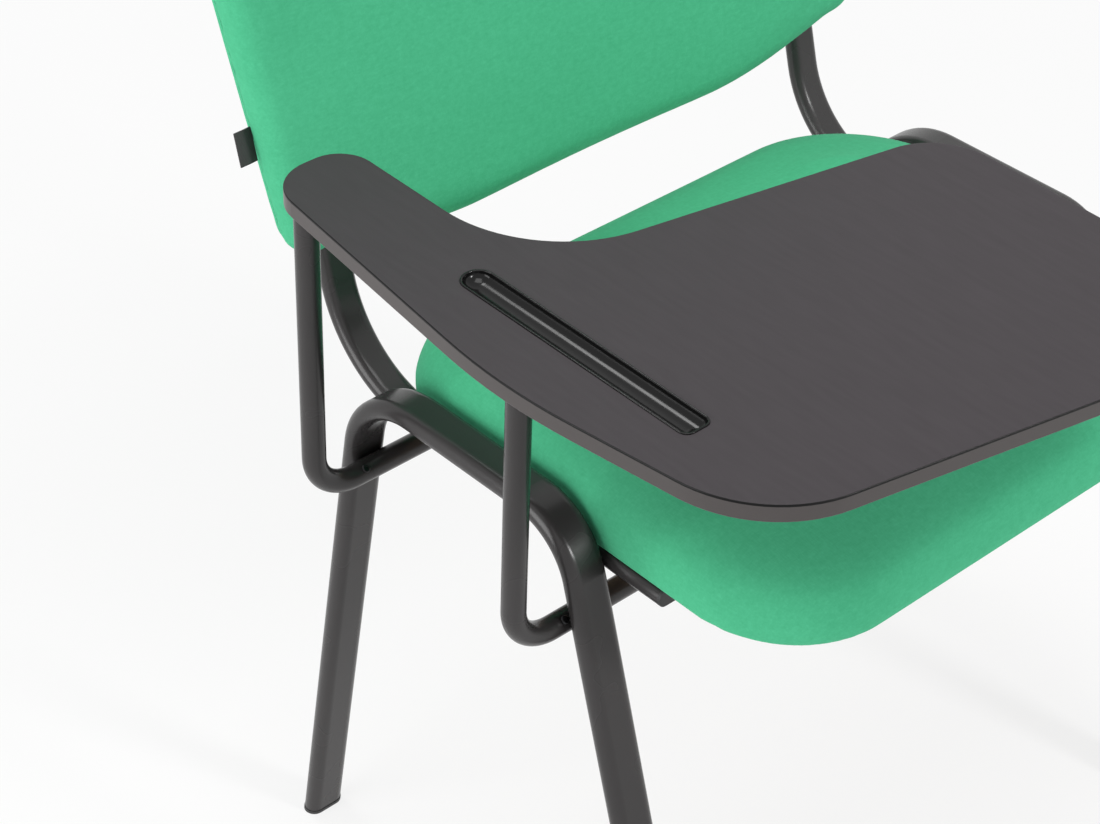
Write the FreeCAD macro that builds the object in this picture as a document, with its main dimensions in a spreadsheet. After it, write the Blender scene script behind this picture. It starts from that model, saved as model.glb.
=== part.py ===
import FreeCAD, Part
import math
import os
import Sketcher
from FreeCAD import Placement, Rotation, Vector

# Stackable conference chair with a fixed writing tablet on the sitter's right.
# Millimetres and degrees. +Z is up, the chair faces -Y, the tablet is on the -X side.

SIZES = (
    ("rail_spacing", 500, "between the centres of the two leg frames"),
    ("tube_width", 30, "flat-oval tube, along X"),
    ("tube_depth", 15, "flat-oval tube, across"),
    ("tube_wall", 1.5, "flat-oval tube"),
    ("rail_rear", 131.9, "rear leg's axis meets the rail's height behind the middle"),
    ("rail_front", 63.1, "front leg's axis meets the rail's height ahead of the middle"),
    ("rear_splay", 8.7, "rear leg off the vertical"),
    ("front_splay", 17.1, "front leg off the vertical"),
    ("rail_height", 445, "side rail's axis at the middle"),
    ("frame_tilt", 1.13, "rise of rails and seat towards the front"),
    ("rear_bend", 60, "axis radius, rail into rear leg"),
    ("front_bend", 50, "axis radius, rail into front leg"),
    ("weld_gap", 0.1, "between tubes that are welded together"),
    ("foot_thick", 3, "foot cap's flange"),
    ("foot_margin", 0.4, "flange stands out round the tube"),
    ("insert_gap", 0.2, "round a plug inside its tube"),
    ("insert_length", 22, "plug inside the tube"),
    ("back_tube_width", 25, "back tube's flat oval, along X"),
    ("back_tube_depth", 13, "back tube's flat oval, across"),
    ("back_tube_wall", 1.5, "back tube"),
    ("tail_drop", 32.7, "back tube's axis under the seat below the rail's axis"),
    ("tail_front", 122, "back tube's front end ahead of the middle"),
    ("tail_cap", 2, "flange of the back tube's end plug"),
    ("tail_rear", 116.85, "level run under the seat ends behind the middle"),
    ("back_bend", 86, "axis radius, tail into upright"),
    ("back_lean", 16, "uprights and backrest off the vertical"),
    ("cross_drop", 35.7, "cross tubes' axis below the back tube's axis"),
    ("rod_diameter", 16, "cross tubes and tablet posts"),
    ("rod_wall", 1.5, "cross tubes and tablet posts"),
    ("rod_overhang", 9.5, "cross tube's end outside the leg frame's axis"),
    ("rod_cap", 1.5, "flange of the cross tube's end plug"),
    ("post_reach", 43, "post's axis outside the cross tube's end"),
    ("post_bend", 32, "axis radius, arm into post"),
    ("spigot_inner", 22, "spigot's reach into the cross tube"),
    ("spigot_outer", 9.5, "spigot's reach into the arm"),
    ("pin_diameter", 4, "screw that holds the spigot"),
    ("pin_offset", 5, "screw outside the joint"),
    ("pin_angle", 41, "screw's tilt from the vertical towards the front"),
    ("pin_head", 5.6, "screw head's diameter"),
    ("pin_head_height", 1.6, "screw head"),
    ("board_rise", 159, "tablet's underside above the rail's axis"),
    ("board_thick", 12, "tablet"),
    ("board_edge", 0.8, "rounding of the tablet's edges"),
    ("arm_outer", 12.5, "tablet's outer edge outside the rear post's axis"),
    ("arm_inner", 48.5, "arm's inner edge inside the post's axis"),
    ("arm_rear", 22.3, "arm's end behind the rear post's axis"),
    ("arm_outer_round", 32, "arm's outer rear corner"),
    ("arm_inner_round", 24, "arm's inner rear corner"),
    ("board_flare", 28.3, "outer edge's widest place outside the arm's end"),
    ("board_widest", 95, "widest place ahead of the middle"),
    ("board_widest_round", 400, "rounding at the widest place"),
    ("board_front_inset", 24.8, "front outer corner inside the widest place"),
    ("board_front", 273.5, "front outer corner ahead of the middle"),
    ("board_front_round", 80, "front outer corner"),
    ("board_front_slope", 11.3, "front edge off the X axis"),
    ("board_rear_slope", 10.8, "rear edge off the X axis"),
    ("board_throat", 20.5, "inner corner at the arm ahead of the middle"),
    ("board_throat_round", 90, "inner corner at the arm"),
    ("board_end", 345, "far end inside the post's axis"),
    ("board_end_rear_round", 45, "far rear corner"),
    ("board_end_front_round", 60, "far front corner"),
    ("tray_offset", 16, "pen tray's axis inside the posts' axis"),
    ("tray_rear", 3, "pen tray's rear end ahead of the middle"),
    ("tray_length", 192, "pen tray"),
    ("tray_width", 22, "pen tray"),
    ("tray_rear_round", 10.6, "tray's rear corners"),
    ("tray_front_round", 6.5, "tray's front corners"),
    ("tray_lip", 0.8, "tray's rim above the tablet"),
    ("tray_wall", 1.6, "tray's wall"),
    ("tray_floor", 1.6, "tray's floor"),
    ("tray_depth", 7, "trough below the tray's rim"),
    ("tray_cove", 4.5, "rounding at the trough's floor"),
    ("tray_gap", 0.15, "round the tray in the tablet"),
    ("plate_thick", 3, "mounting plate on a post"),
    ("plate_width", 20, "mounting plate"),
    ("plate_length", 52, "mounting plate"),
    ("plate_end", 10, "post's axis from the plate's end"),
    ("plate_round", 8, "mounting plate's corners"),
    ("screw_first", 16, "first tablet screw from the post's axis"),
    ("screw_pitch", 20, "between the two screws of a plate"),
    ("screw_diameter", 4.8, "tablet and backrest screws"),
    ("screw_head", 8.5, "screw head's diameter"),
    ("screw_head_height", 3, "screw head"),
    ("screw_depth", 8, "screw's length inside the tablet"),
    ("hole_gap", 0.1, "round a screw in its hole"),
    ("seat_side_gap", 1, "seat's side inside the leg frame"),
    ("seat_overhang", 46, "seat's rear edge behind the end of the level run"),
    ("seat_front", 235, "seat's front edge ahead of the middle"),
    ("seat_rear_round", 88, "seat's rear corners"),
    ("seat_front_round", 75, "seat's front corners"),
    ("seat_side", 16, "height of the seat's side"),
    ("seat_shoulder", 34, "rounding at the top of the side"),
    ("seat_crown", 10, "rise of the seat's middle"),
    ("seat_crown_inset", 110, "crown's edge inside the seat's edge"),
    ("seat_tuck", 1.5, "side drawn in at its lower edge"),
    ("seat_rear_tuck", 10, "rear drawn in at its lower edge"),
    ("seat_waterfall", 12, "front drawn in at its lower edge"),
    ("soft_gap", 0.3, "between a cushion and its neighbours"),
    ("panel_thick", 10, "seat panel"),
    ("panel_inset", 5, "seat panel inside the seat's edge"),
    ("bolt_diameter", 6, "seat bolt"),
    ("bolt_inset", 4, "seat bolt inside the back tube's axis"),
    ("bolt_head", 12, "seat bolt's head"),
    ("bolt_head_height", 3.5, "seat bolt's head"),
    ("bolt_front", 85, "front seat bolts ahead of the middle"),
    ("bolt_rear", 56, "rear seat bolts behind the middle"),
    ("nut_flange", 19, "tee nut's flange"),
    ("nut_flange_thick", 1.5, "tee nut's flange"),
    ("nut_barrel", 8, "tee nut's barrel"),
    ("back_rise", 42, "backrest's lower edge above the rail's axis, at its middle"),
    ("back_length", 366, "backrest along its lean"),
    ("back_low_side", 40.6, "backrest's lower corner outside the upright's axis"),
    ("back_high_side", 63.6, "backrest's upper corner outside the upright's axis"),
    ("back_low_round", 32, "backrest's lower corners"),
    ("back_high_round", 60, "backrest's upper corners"),
    ("back_smile", 30, "rise of the lower edge towards the sides"),
    ("back_smile_run", 113, "sloping part of the lower edge at each side, along X"),
    ("back_smile_round", 300, "lower edge where it starts to rise"),
    ("back_arch", 10, "fall of the upper edge towards the sides"),
    ("back_arch_round", 1500, "upper edge at its middle"),
    ("back_wrap", 1400, "radius of the backrest round the sitter"),
    ("shell_thick", 7, "curved panel in the backrest"),
    ("shell_inset", 14, "curved panel inside the backrest's edge"),
    ("front_low", 31, "front cushion ahead of the seam, at its lower edge"),
    ("front_full", 36, "front cushion ahead of the seam, at its crown"),
    ("front_high", 27, "front cushion ahead of the seam, at its upper edge"),
    ("front_rim", 15, "front cushion ahead of the seam, at the sides"),
    ("front_roll", 13, "rounding of the front cushion's edges"),
    ("rear_middle", 15, "rear pad behind the seam, at the middle"),
    ("rear_rim", 31, "rear pad behind the seam, at the sides before rounding"),
    ("rear_roll", 26, "rounding of the rear pad's edges"),
    ("upright_cover", 60, "upright's top below the backrest's top"),
    ("back_screw_low", 70, "lower backrest screws above its lower edge"),
    ("back_screw_pitch", 150, "between lower and upper backrest screws"),
    ("tab_rise", 103, "label tab's middle above the backrest's lower edge"),
    ("tab_height", 22, "label tab"),
    ("tab_reach", 16.5, "label tab sticks out of the side seam"),
    ("tab_thick", 1.4, "label tab, two layers"),
)

doc = FreeCAD.newDocument("tablet_chair")
sizes = doc.addObject("Spreadsheet::Sheet", "Sizes")
for row, (name, number, meaning) in enumerate(SIZES, start=1):
    sizes.set("A%d" % row, name)
    sizes.set("B%d" % row, str(number))
    sizes.setAlias("B%d" % row, name)
    sizes.set("C%d" % row, meaning)
doc.recompute()

# Expressions that several pieces share
LEG_X = "(Sizes.rail_spacing / 2)"
TUBE_X = (
    "(Sizes.rail_spacing / 2 - Sizes.tube_width / 2"
    " - Sizes.back_tube_width / 2 - Sizes.weld_gap)"
)
ROD_REACH = "(Sizes.rod_diameter / 2 + Sizes.tube_depth / 2 + Sizes.weld_gap)"
TAIL_Z = "(Sizes.rail_height - Sizes.tail_drop)"
CROSS_Z = "(Sizes.rail_height - Sizes.tail_drop - Sizes.cross_drop)"
FOOT_Y = {
    leg: "(Sizes.rail_%s + Sizes.rail_height * tan(Sizes.%s_splay))" % (leg, leg)
    for leg in ("rear", "front")
}
REAR_CROSS_Y = (
    "(" + FOOT_Y["rear"] + " - " + CROSS_Z + " * tan(Sizes.rear_splay)"
    " - " + ROD_REACH + " / cos(Sizes.rear_splay))"
)
FRONT_CROSS_Y = (
    "(-" + FOOT_Y["front"] + " + " + CROSS_Z + " * tan(Sizes.front_splay)"
    " + " + ROD_REACH + " / cos(Sizes.front_splay))"
)
ROD_END_X = "(Sizes.rail_spacing / 2 + Sizes.rod_overhang)"
POST_X = "(-" + ROD_END_X + " - Sizes.post_reach)"
BOARD_Z = "(Sizes.rail_height + Sizes.board_rise)"
PLATE_Z = "(" + BOARD_Z + " - Sizes.plate_thick)"
BOARD_TOP = "(" + BOARD_Z + " + Sizes.board_thick)"
TRAY_X = "(" + POST_X + " + Sizes.tray_offset)"
UPRIGHT_Y = (
    "(Sizes.tail_rear"
    " + Sizes.back_bend * tan((90 - Sizes.back_lean + Sizes.frame_tilt) / 2))"
)
BACK_Z = "(Sizes.rail_height + Sizes.back_rise)"
BACK_Y = "(" + UPRIGHT_Y + " + (" + BACK_Z + " - " + TAIL_Z + ") * tan(Sizes.back_lean))"
LOW_HALF = "(" + TUBE_X + " + Sizes.back_low_side)"
HIGH_HALF = "(" + TUBE_X + " + Sizes.back_high_side)"
BOLT_X = "(" + TUBE_X + " - Sizes.bolt_inset)"
BOLTS_Y = ("-Sizes.bolt_front", "Sizes.bolt_rear")

pieces = []


def value(expression):
    """Number that an expression on the sheet gives."""
    result = sizes.evalExpression(expression)
    return float(getattr(result, "Value", result))


def new_body(label):
    """Empty body that becomes a piece of its own."""
    body = doc.addObject("PartDesign::Body", label)
    body.Label = label
    pieces.append(body)
    return body


def add_sketch(body, name, role, base=("0", "0", "0"), axis=(0, 0, 1), turn="0"):
    """Sketch on one of the body's origin planes, shifted and turned in that plane's own axes."""
    sketch = body.newObject("Sketcher::SketchObject", name)
    plane = [feature for feature in body.Origin.OriginFeatures if feature.Role == role][0]
    sketch.AttachmentSupport = [(plane, "")]
    sketch.MapMode = "FlatFace"
    sketch.AttachmentOffset = Placement(Vector(0, 0, 0), Rotation(Vector(*axis), value(turn)))
    for letter, expression in zip("xyz", base):
        sketch.setExpression("AttachmentOffset.Base." + letter, expression)
    if turn != "0":
        sketch.setExpression("AttachmentOffset.Rotation.Angle", turn)
    return sketch


def drive(sketch, kind, where, expression):
    """Dimension whose value follows an expression."""
    number = value(expression)
    if kind == "Angle":
        number = math.radians(number)
    index = sketch.addConstraint(Sketcher.Constraint(kind, *where, number))
    sketch.setExpression("Constraints[%d]" % index, expression)


def fix_point(sketch, geometry, corner, place):
    """Pins a point of the sketch to a place given by two expressions."""
    drive(sketch, "DistanceX", (-1, 1, geometry, corner), place[0])
    drive(sketch, "DistanceY", (-1, 1, geometry, corner), place[1])


def tie(sketch, kind, *where):
    """Constraint without a value."""
    sketch.addConstraint(Sketcher.Constraint(kind, *where))


def draw_circle(sketch, place, diameter):
    """Circle at a place given by two expressions."""
    centre = Vector(value(place[0]), value(place[1]), 0)
    circle = Part.Circle(centre, Vector(0, 0, 1), value(diameter) / 2)
    index = sketch.addGeometry(circle, False)
    fix_point(sketch, index, 3, place)
    drive(sketch, "Diameter", (index,), diameter)


def draw_oval(sketch, width, depth, place=("0", "0")):
    """Flat oval, its long side along the sketch's x axis."""
    reach = "(" + width + " - (" + depth + ")) / 2"
    left = ("(" + place[0] + ") - " + reach, place[1])
    right = ("(" + place[0] + ") + " + reach, place[1])
    a = Vector(value(left[0]), value(left[1]), 0)
    b = Vector(value(right[0]), value(right[1]), 0)
    bend = value(depth) / 2
    up = Vector(0, bend, 0)
    axis = Vector(0, 0, 1)
    quarter = math.pi / 2
    first = sketch.addGeometry(Part.LineSegment(b + up, a + up), False)
    sketch.addGeometry(Part.ArcOfCircle(Part.Circle(a, axis, bend), quarter, 3 * quarter), False)
    sketch.addGeometry(Part.LineSegment(a - up, b - up), False)
    sketch.addGeometry(Part.ArcOfCircle(Part.Circle(b, axis, bend), -quarter, quarter), False)
    tie(sketch, "Tangent", first, 2, first + 1, 1)
    tie(sketch, "Tangent", first + 1, 2, first + 2, 1)
    tie(sketch, "Tangent", first + 2, 2, first + 3, 1)
    tie(sketch, "Tangent", first + 3, 2, first, 1)
    tie(sketch, "Equal", first + 1, first + 3)
    fix_point(sketch, first + 1, 3, left)
    fix_point(sketch, first + 3, 3, right)
    drive(sketch, "Diameter", (first + 1,), depth)


def draw_bend(sketch, start, start_angle, end, end_angle, radius):
    """Two straight runs joined by a tangent arc; the angles are the runs' directions."""
    p = Vector(value(start[0]), value(start[1]), 0)
    q = Vector(value(end[0]), value(end[1]), 0)
    heading = math.radians(value(start_angle))
    last_heading = math.radians(value(end_angle))
    d = Vector(math.cos(heading), math.sin(heading), 0)
    e = Vector(math.cos(last_heading), math.sin(last_heading), 0)
    cross = d.x * e.y - d.y * e.x
    corner = p + d * (((q.x - p.x) * e.y - (q.y - p.y) * e.x) / cross)
    bend = value(radius)
    reach = bend * math.tan(abs(math.atan2(cross, d.dot(e))) / 2)
    side = math.copysign(1, cross)
    first = corner - d * reach
    last = corner + e * reach
    centre = first + Vector(-d.y, d.x, 0) * (bend * side)
    opening = math.atan2(first.y - centre.y, first.x - centre.x)
    closing = math.atan2(last.y - centre.y, last.x - centre.x)
    first_end, last_end = (1, 2) if side > 0 else (2, 1)
    if side < 0:
        opening, closing = closing, opening
    circle = Part.Circle(centre, Vector(0, 0, 1), bend)
    sketch.addGeometry(Part.LineSegment(p, first), False)
    sketch.addGeometry(Part.ArcOfCircle(circle, opening, closing), False)
    sketch.addGeometry(Part.LineSegment(last, q), False)
    tie(sketch, "Tangent", 0, 2, 1, first_end)
    tie(sketch, "Tangent", 1, last_end, 2, 1)
    fix_point(sketch, 0, 1, start)
    drive(sketch, "Angle", (0,), start_angle)
    drive(sketch, "Radius", (1,), radius)
    drive(sketch, "Angle", (2,), end_angle)
    fix_point(sketch, 2, 2, end)


def draw_outline(sketch, corners):
    """Closed outline through corners of (x, y, radius), counter-clockwise, all expressions."""
    count = len(corners)
    points = [Vector(value(x), value(y), 0) for x, y, radius in corners]
    arcs = []
    for i in range(count):
        to_previous = (points[i - 1] - points[i]).normalize()
        to_next = (points[(i + 1) % count] - points[i]).normalize()
        half = to_previous.getAngle(to_next) / 2
        bend = value(corners[i][2])
        first = points[i] + to_previous * (bend / math.tan(half))
        last = points[i] + to_next * (bend / math.tan(half))
        centre = points[i] + (to_previous + to_next).normalize() * (bend / math.sin(half))
        convex = to_next.x * to_previous.y - to_next.y * to_previous.x > 0
        arcs.append((first, last, centre, bend, convex))
    for i, (first, last, centre, bend, convex) in enumerate(arcs):
        begin, finish = (first, last) if convex else (last, first)
        opening = math.atan2(begin.y - centre.y, begin.x - centre.x)
        closing = math.atan2(finish.y - centre.y, finish.x - centre.x)
        circle = Part.Circle(centre, Vector(0, 0, 1), bend)
        sketch.addGeometry(Part.ArcOfCircle(circle, opening, closing), False)
        sketch.addGeometry(Part.LineSegment(last, arcs[(i + 1) % count][0]), False)
    for i in range(count):
        point = sketch.addGeometry(Part.Point(points[i]), True)
        fix_point(sketch, point, 1, corners[i][:2])
        tie(sketch, "PointOnObject", point, 1, 2 * i + 1)
        tie(sketch, "PointOnObject", point, 1, 2 * ((i - 1) % count) + 1)
    for i, (first, last, centre, bend, convex) in enumerate(arcs):
        first_end, last_end = (1, 2) if convex else (2, 1)
        tie(sketch, "Tangent", 2 * ((i - 1) % count) + 1, 2, 2 * i, first_end)
        tie(sketch, "Tangent", 2 * i, last_end, 2 * i + 1, 1)
        drive(sketch, "Radius", (2 * i,), corners[i][2])


def draw_polygon(sketch, corners):
    """Closed outline of straight edges through corners given by expressions."""
    points = [Vector(value(x), value(y), 0) for x, y in corners]
    count = len(points)
    edges = [
        sketch.addGeometry(Part.LineSegment(points[i], points[(i + 1) % count]), False)
        for i in range(count)
    ]
    for i in range(count):
        tie(sketch, "Coincident", edges[i], 2, edges[(i + 1) % count], 1)
        fix_point(sketch, edges[i], 1, corners[i])


def arc_through(start, middle, end):
    """Arc through three points, and whether it runs counter-clockwise from the first."""
    circle = Part.Arc(start, middle, end).toShape().Curve
    forward = (middle - start).cross(end - middle).z > 0
    first, last = (start, end) if forward else (end, start)
    opening = math.atan2(first.y - circle.Center.y, first.x - circle.Center.x)
    closing = math.atan2(last.y - circle.Center.y, last.x - circle.Center.x)
    flat = Part.Circle(circle.Center, Vector(0, 0, 1), circle.Radius)
    return Part.ArcOfCircle(flat, opening, closing), forward


def draw_chain(sketch, corners, middles):
    """Closed chain: edge i runs from corner i, straight or as an arc through its middle point."""
    points = [Vector(value(x), value(y), 0) for x, y in corners]
    count = len(points)
    ends = []
    for i, middle in enumerate(middles):
        following = points[(i + 1) % count]
        if middle is None:
            sketch.addGeometry(Part.LineSegment(points[i], following), False)
            ends.append((1, 2))
        else:
            over = Vector(value(middle[0]), value(middle[1]), 0)
            arc, forward = arc_through(points[i], over, following)
            sketch.addGeometry(arc, False)
            ends.append((1, 2) if forward else (2, 1))
    for i in range(count):
        tie(sketch, "Coincident", i, ends[i][1], (i + 1) % count, ends[(i + 1) % count][0])
        fix_point(sketch, i, ends[i][0], corners[i])
    for i, middle in enumerate(middles):
        if middle is not None:
            over = Vector(value(middle[0]), value(middle[1]), 0)
            point = sketch.addGeometry(Part.Point(over), True)
            fix_point(sketch, point, 1, middle)
            tie(sketch, "PointOnObject", point, 1, i)


def pad(body, sketch, length, reverse=False, symmetric=False):
    """Solid pushed out of a sketch."""
    feature = body.newObject("PartDesign::Pad", sketch.Name + "_pad")
    feature.Profile = sketch
    feature.Reversed = reverse
    feature.setExpression("Length", length)
    if symmetric:
        feature.SideType = "Symmetric"
    return feature


def pocket(body, sketch, length, reverse=False, symmetric=False):
    """Cut along a sketch, against its normal unless reversed."""
    feature = body.newObject("PartDesign::Pocket", sketch.Name + "_cut")
    feature.Profile = sketch
    feature.Reversed = reverse
    feature.setExpression("Length", length)
    if symmetric:
        feature.SideType = "Symmetric"
    return feature


def pipe(body, profile, path, name):
    """Profile swept along a path."""
    feature = body.newObject("PartDesign::AdditivePipe", name)
    feature.Profile = profile
    feature.Spine = path
    return feature


def loft(body, sections, name):
    """Smooth solid through a row of sketches."""
    feature = body.newObject("PartDesign::AdditiveLoft", name)
    feature.Profile = sections[0]
    feature.Sections = sections[1:]
    return feature


def round_edges(body, radius, chosen):
    """Fillet on the edges of the body so far whose middle point passes the test."""
    doc.recompute()
    base = body.Tip
    names = []
    for i, edge in enumerate(base.Shape.Edges, start=1):
        middle = edge.valueAt((edge.FirstParameter + edge.LastParameter) / 2)
        if chosen(edge, middle):
            names.append("Edge%d" % i)
    feature = body.newObject("PartDesign::Fillet", body.Name + "_round_%d" % len(body.Group))
    feature.Base = (base, names)
    feature.setExpression("Radius", radius)
    return feature


def draw_tube(sketch, kind):
    """Flat-oval tube with its bore."""
    size = "(Sizes." + kind + "%s)"
    draw_oval(sketch, size % "_width", size % "_depth")
    bore = "(Sizes." + kind + "%s - 2 * Sizes." + kind + "_wall)"
    draw_oval(sketch, bore % "_width", bore % "_depth")


def draw_rod(sketch, place):
    """Round tube with its bore."""
    draw_circle(sketch, place, "Sizes.rod_diameter")
    draw_circle(sketch, place, "Sizes.rod_diameter - 2 * Sizes.rod_wall")


# Leg frames: rail, front leg and rear leg bent from one tube, cut level above the foot caps
for side, sign in (("right", "-"), ("left", "")):
    x = sign + LEG_X
    body = new_body("leg_frame_" + side)
    profile = add_sketch(
        body, body.Name + "_profile", "XZ_Plane",
        (x, "Sizes.rail_height", "0"), (1, 0, 0), "-Sizes.frame_tilt",
    )
    draw_tube(profile, "tube")
    legs = (
        ("rear", "", "-Sizes.frame_tilt", "-90 + Sizes.rear_splay"),
        ("front", "-", "180 - Sizes.frame_tilt", "-90 - Sizes.front_splay"),
    )
    for leg, way, rail_angle, leg_angle in legs:
        path = add_sketch(body, body.Name + "_" + leg, "YZ_Plane", ("0", "0", x))
        below = "Sizes.tube_width"
        foot = way + "(%s + %s * tan(Sizes.%s_splay))" % (FOOT_Y[leg], below, leg)
        draw_bend(
            path, ("0", "Sizes.rail_height"), rail_angle,
            (foot, "-" + below), leg_angle, "Sizes.%s_bend" % leg,
        )
        pipe(body, profile, path, body.Name + "_" + leg + "_pipe")
    trim = add_sketch(body, body.Name + "_trim", "XY_Plane", ("0", "0", "Sizes.foot_thick"))
    half = "Sizes.tube_width"
    ahead = "-2 * " + FOOT_Y["front"]
    behind = "2 * " + FOOT_Y["rear"]
    draw_polygon(trim, (
        (x + " - " + half, ahead), (x + " + " + half, ahead),
        (x + " + " + half, behind), (x + " - " + half, behind),
    ))
    pocket(body, trim, "3 * Sizes.tube_width")

# Foot caps: a thin flange on the floor and a plug up the leg
for side, sign in (("right", "-"), ("left", "")):
    for leg, way, back in (("front", "-", ""), ("rear", "", "-")):
        body = new_body("foot_cap_%s_%s" % (leg, side))
        slope = "cos(Sizes.%s_splay)" % leg
        lean = "%stan(Sizes.%s_splay)" % (back, leg)
        flange = add_sketch(body, body.Name + "_flange", "XY_Plane")
        foot_y = way + FOOT_Y[leg]
        draw_oval(
            flange, "Sizes.tube_width + 2 * Sizes.foot_margin",
            "Sizes.tube_depth / " + slope + " + 2 * Sizes.foot_margin",
            (sign + LEG_X, foot_y),
        )
        base = pad(body, flange, "Sizes.foot_thick")
        plug = add_sketch(body, body.Name + "_plug", "XY_Plane", ("0", "0", "Sizes.foot_thick"))
        draw_oval(
            plug, "Sizes.tube_width - 2 * (Sizes.tube_wall + Sizes.insert_gap)",
            "Sizes.tube_depth - 2 * (Sizes.tube_wall + Sizes.insert_gap)",
            (sign + LEG_X, foot_y + " + Sizes.foot_thick * " + lean),
        )
        rise = pad(body, plug, "Sizes.insert_length")
        for feature in (base, rise):
            feature.UseCustomVector = True
            feature.AlongSketchNormal = True
            feature.Direction = Vector(0, value(lean), 1)
            feature.setExpression("Direction.y", lean)

# Back tubes: tail under the seat, bend and upright of one tube
for side, sign in (("right", "-"), ("left", "")):
    x = sign + TUBE_X
    body = new_body("back_tube_" + side)
    tail_y = "-Sizes.tail_front"
    tail_z = "(" + TAIL_Z + " + Sizes.tail_front * tan(Sizes.frame_tilt))"
    profile = add_sketch(
        body, body.Name + "_profile", "XZ_Plane",
        (x, tail_z, "Sizes.tail_front"), (1, 0, 0), "-Sizes.frame_tilt",
    )
    draw_tube(profile, "back_tube")
    path = add_sketch(body, body.Name + "_path", "YZ_Plane", ("0", "0", x))
    top = "(Sizes.back_length - Sizes.upright_cover)"
    draw_bend(
        path, (tail_y, tail_z), "-Sizes.frame_tilt",
        (
            BACK_Y + " + " + top + " * sin(Sizes.back_lean)",
            BACK_Z + " + " + top + " * cos(Sizes.back_lean)",
        ),
        "90 - Sizes.back_lean", "Sizes.back_bend",
    )
    pipe(body, profile, path, body.Name + "_pipe")
    holes = add_sketch(
        body, body.Name + "_bolt_holes", "XY_Plane",
        ("0", "0", TAIL_Z), (1, 0, 0), "-Sizes.frame_tilt",
    )
    for y in BOLTS_Y:
        place = (sign + BOLT_X, y)
        draw_circle(holes, place, "Sizes.bolt_diameter + 2 * Sizes.hole_gap")
    pocket(body, holes, "2 * Sizes.back_tube_depth", symmetric=True)
    holes = add_sketch(
        body, body.Name + "_screw_holes", "XZ_Plane",
        ("0", BACK_Z, "-" + BACK_Y), (1, 0, 0), "-Sizes.back_lean",
    )
    for u in ("Sizes.back_screw_low", "Sizes.back_screw_low + Sizes.back_screw_pitch"):
        draw_circle(holes, (x, u), "Sizes.screw_diameter + 2 * Sizes.hole_gap")
    pocket(body, holes, "2 * Sizes.back_tube_depth", symmetric=True)

# End plugs in the front ends of the back tubes
for side, sign in (("right", "-"), ("left", "")):
    body = new_body("tail_plug_" + side)
    base = (sign + TUBE_X, tail_z, "Sizes.tail_front")
    flange = add_sketch(
        body, body.Name + "_flange", "XZ_Plane", base, (1, 0, 0), "-Sizes.frame_tilt",
    )
    draw_oval(flange, "Sizes.back_tube_width", "Sizes.back_tube_depth")
    pad(body, flange, "Sizes.tail_cap")
    plug = add_sketch(
        body, body.Name + "_insert", "XZ_Plane", base, (1, 0, 0), "-Sizes.frame_tilt",
    )
    draw_oval(
        plug, "Sizes.back_tube_width - 2 * (Sizes.back_tube_wall + Sizes.insert_gap)",
        "Sizes.back_tube_depth - 2 * (Sizes.back_tube_wall + Sizes.insert_gap)",
    )
    pad(body, plug, "Sizes.insert_length", reverse=True)

# Cross tubes between the leg frames, with their end plugs, tablet posts, plates
ROWS = (("front", FRONT_CROSS_Y), ("rear", REAR_CROSS_Y))
for row, y in ROWS:
    body = new_body("cross_tube_" + row)
    sketch = add_sketch(body, body.Name + "_profile", "YZ_Plane")
    draw_rod(sketch, (y, CROSS_Z))
    pad(body, sketch, "2 * " + ROD_END_X, symmetric=True)

for row, y in ROWS:
    body = new_body("cross_plug_" + row)
    flange = add_sketch(body, body.Name + "_flange", "YZ_Plane", ("0", "0", ROD_END_X))
    draw_circle(flange, (y, CROSS_Z), "Sizes.rod_diameter")
    pad(body, flange, "Sizes.rod_cap")
    plug = add_sketch(body, body.Name + "_insert", "YZ_Plane", ("0", "0", ROD_END_X))
    bore = "Sizes.rod_diameter - 2 * (Sizes.rod_wall + Sizes.insert_gap)"
    draw_circle(plug, (y, CROSS_Z), bore)
    pad(body, plug, "Sizes.insert_length / 2", reverse=True)

ARM_X = "(-" + ROD_END_X + " - Sizes.weld_gap)"
PIN_X = "(-" + ROD_END_X + " - Sizes.pin_offset)"
for row, y in ROWS:
    body = new_body("tablet_post_" + row)
    profile = add_sketch(body, body.Name + "_profile", "YZ_Plane", ("0", "0", ARM_X))
    draw_rod(profile, (y, CROSS_Z))
    path = add_sketch(body, body.Name + "_path", "XZ_Plane", ("0", "0", "-" + y))
    draw_bend(
        path, (ARM_X, CROSS_Z), "180", (POST_X, PLATE_Z), "90", "Sizes.post_bend",
    )
    pipe(body, profile, path, body.Name + "_pipe")
    hole = add_sketch(
        body, body.Name + "_pin_hole", "XY_Plane",
        (PIN_X, y, CROSS_Z), (1, 0, 0), "Sizes.pin_angle",
    )
    draw_circle(hole, ("0", "0"), "Sizes.pin_diameter + 2 * Sizes.hole_gap")
    pocket(body, hole, "Sizes.rod_diameter", reverse=True)

# Spigots inside the joints between cross tubes and arms
body = new_body("post_spigots")
spigots = add_sketch(
    body, "spigot_ends", "YZ_Plane", ("0", "0", "-" + ROD_END_X + " - Sizes.spigot_outer"),
)
for row, y in ROWS:
    bore = "Sizes.rod_diameter - 2 * (Sizes.rod_wall + Sizes.hole_gap)"
    draw_circle(spigots, (y, CROSS_Z), bore)
pad(body, spigots, "Sizes.spigot_outer + Sizes.spigot_inner")
for row, y in ROWS:
    hole = add_sketch(
        body, "spigot_hole_" + row, "XY_Plane",
        (PIN_X, y, CROSS_Z), (1, 0, 0), "Sizes.pin_angle",
    )
    draw_circle(hole, ("0", "0"), "Sizes.pin_diameter + 2 * Sizes.hole_gap")
    pocket(body, hole, "Sizes.rod_diameter", reverse=True)

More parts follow.
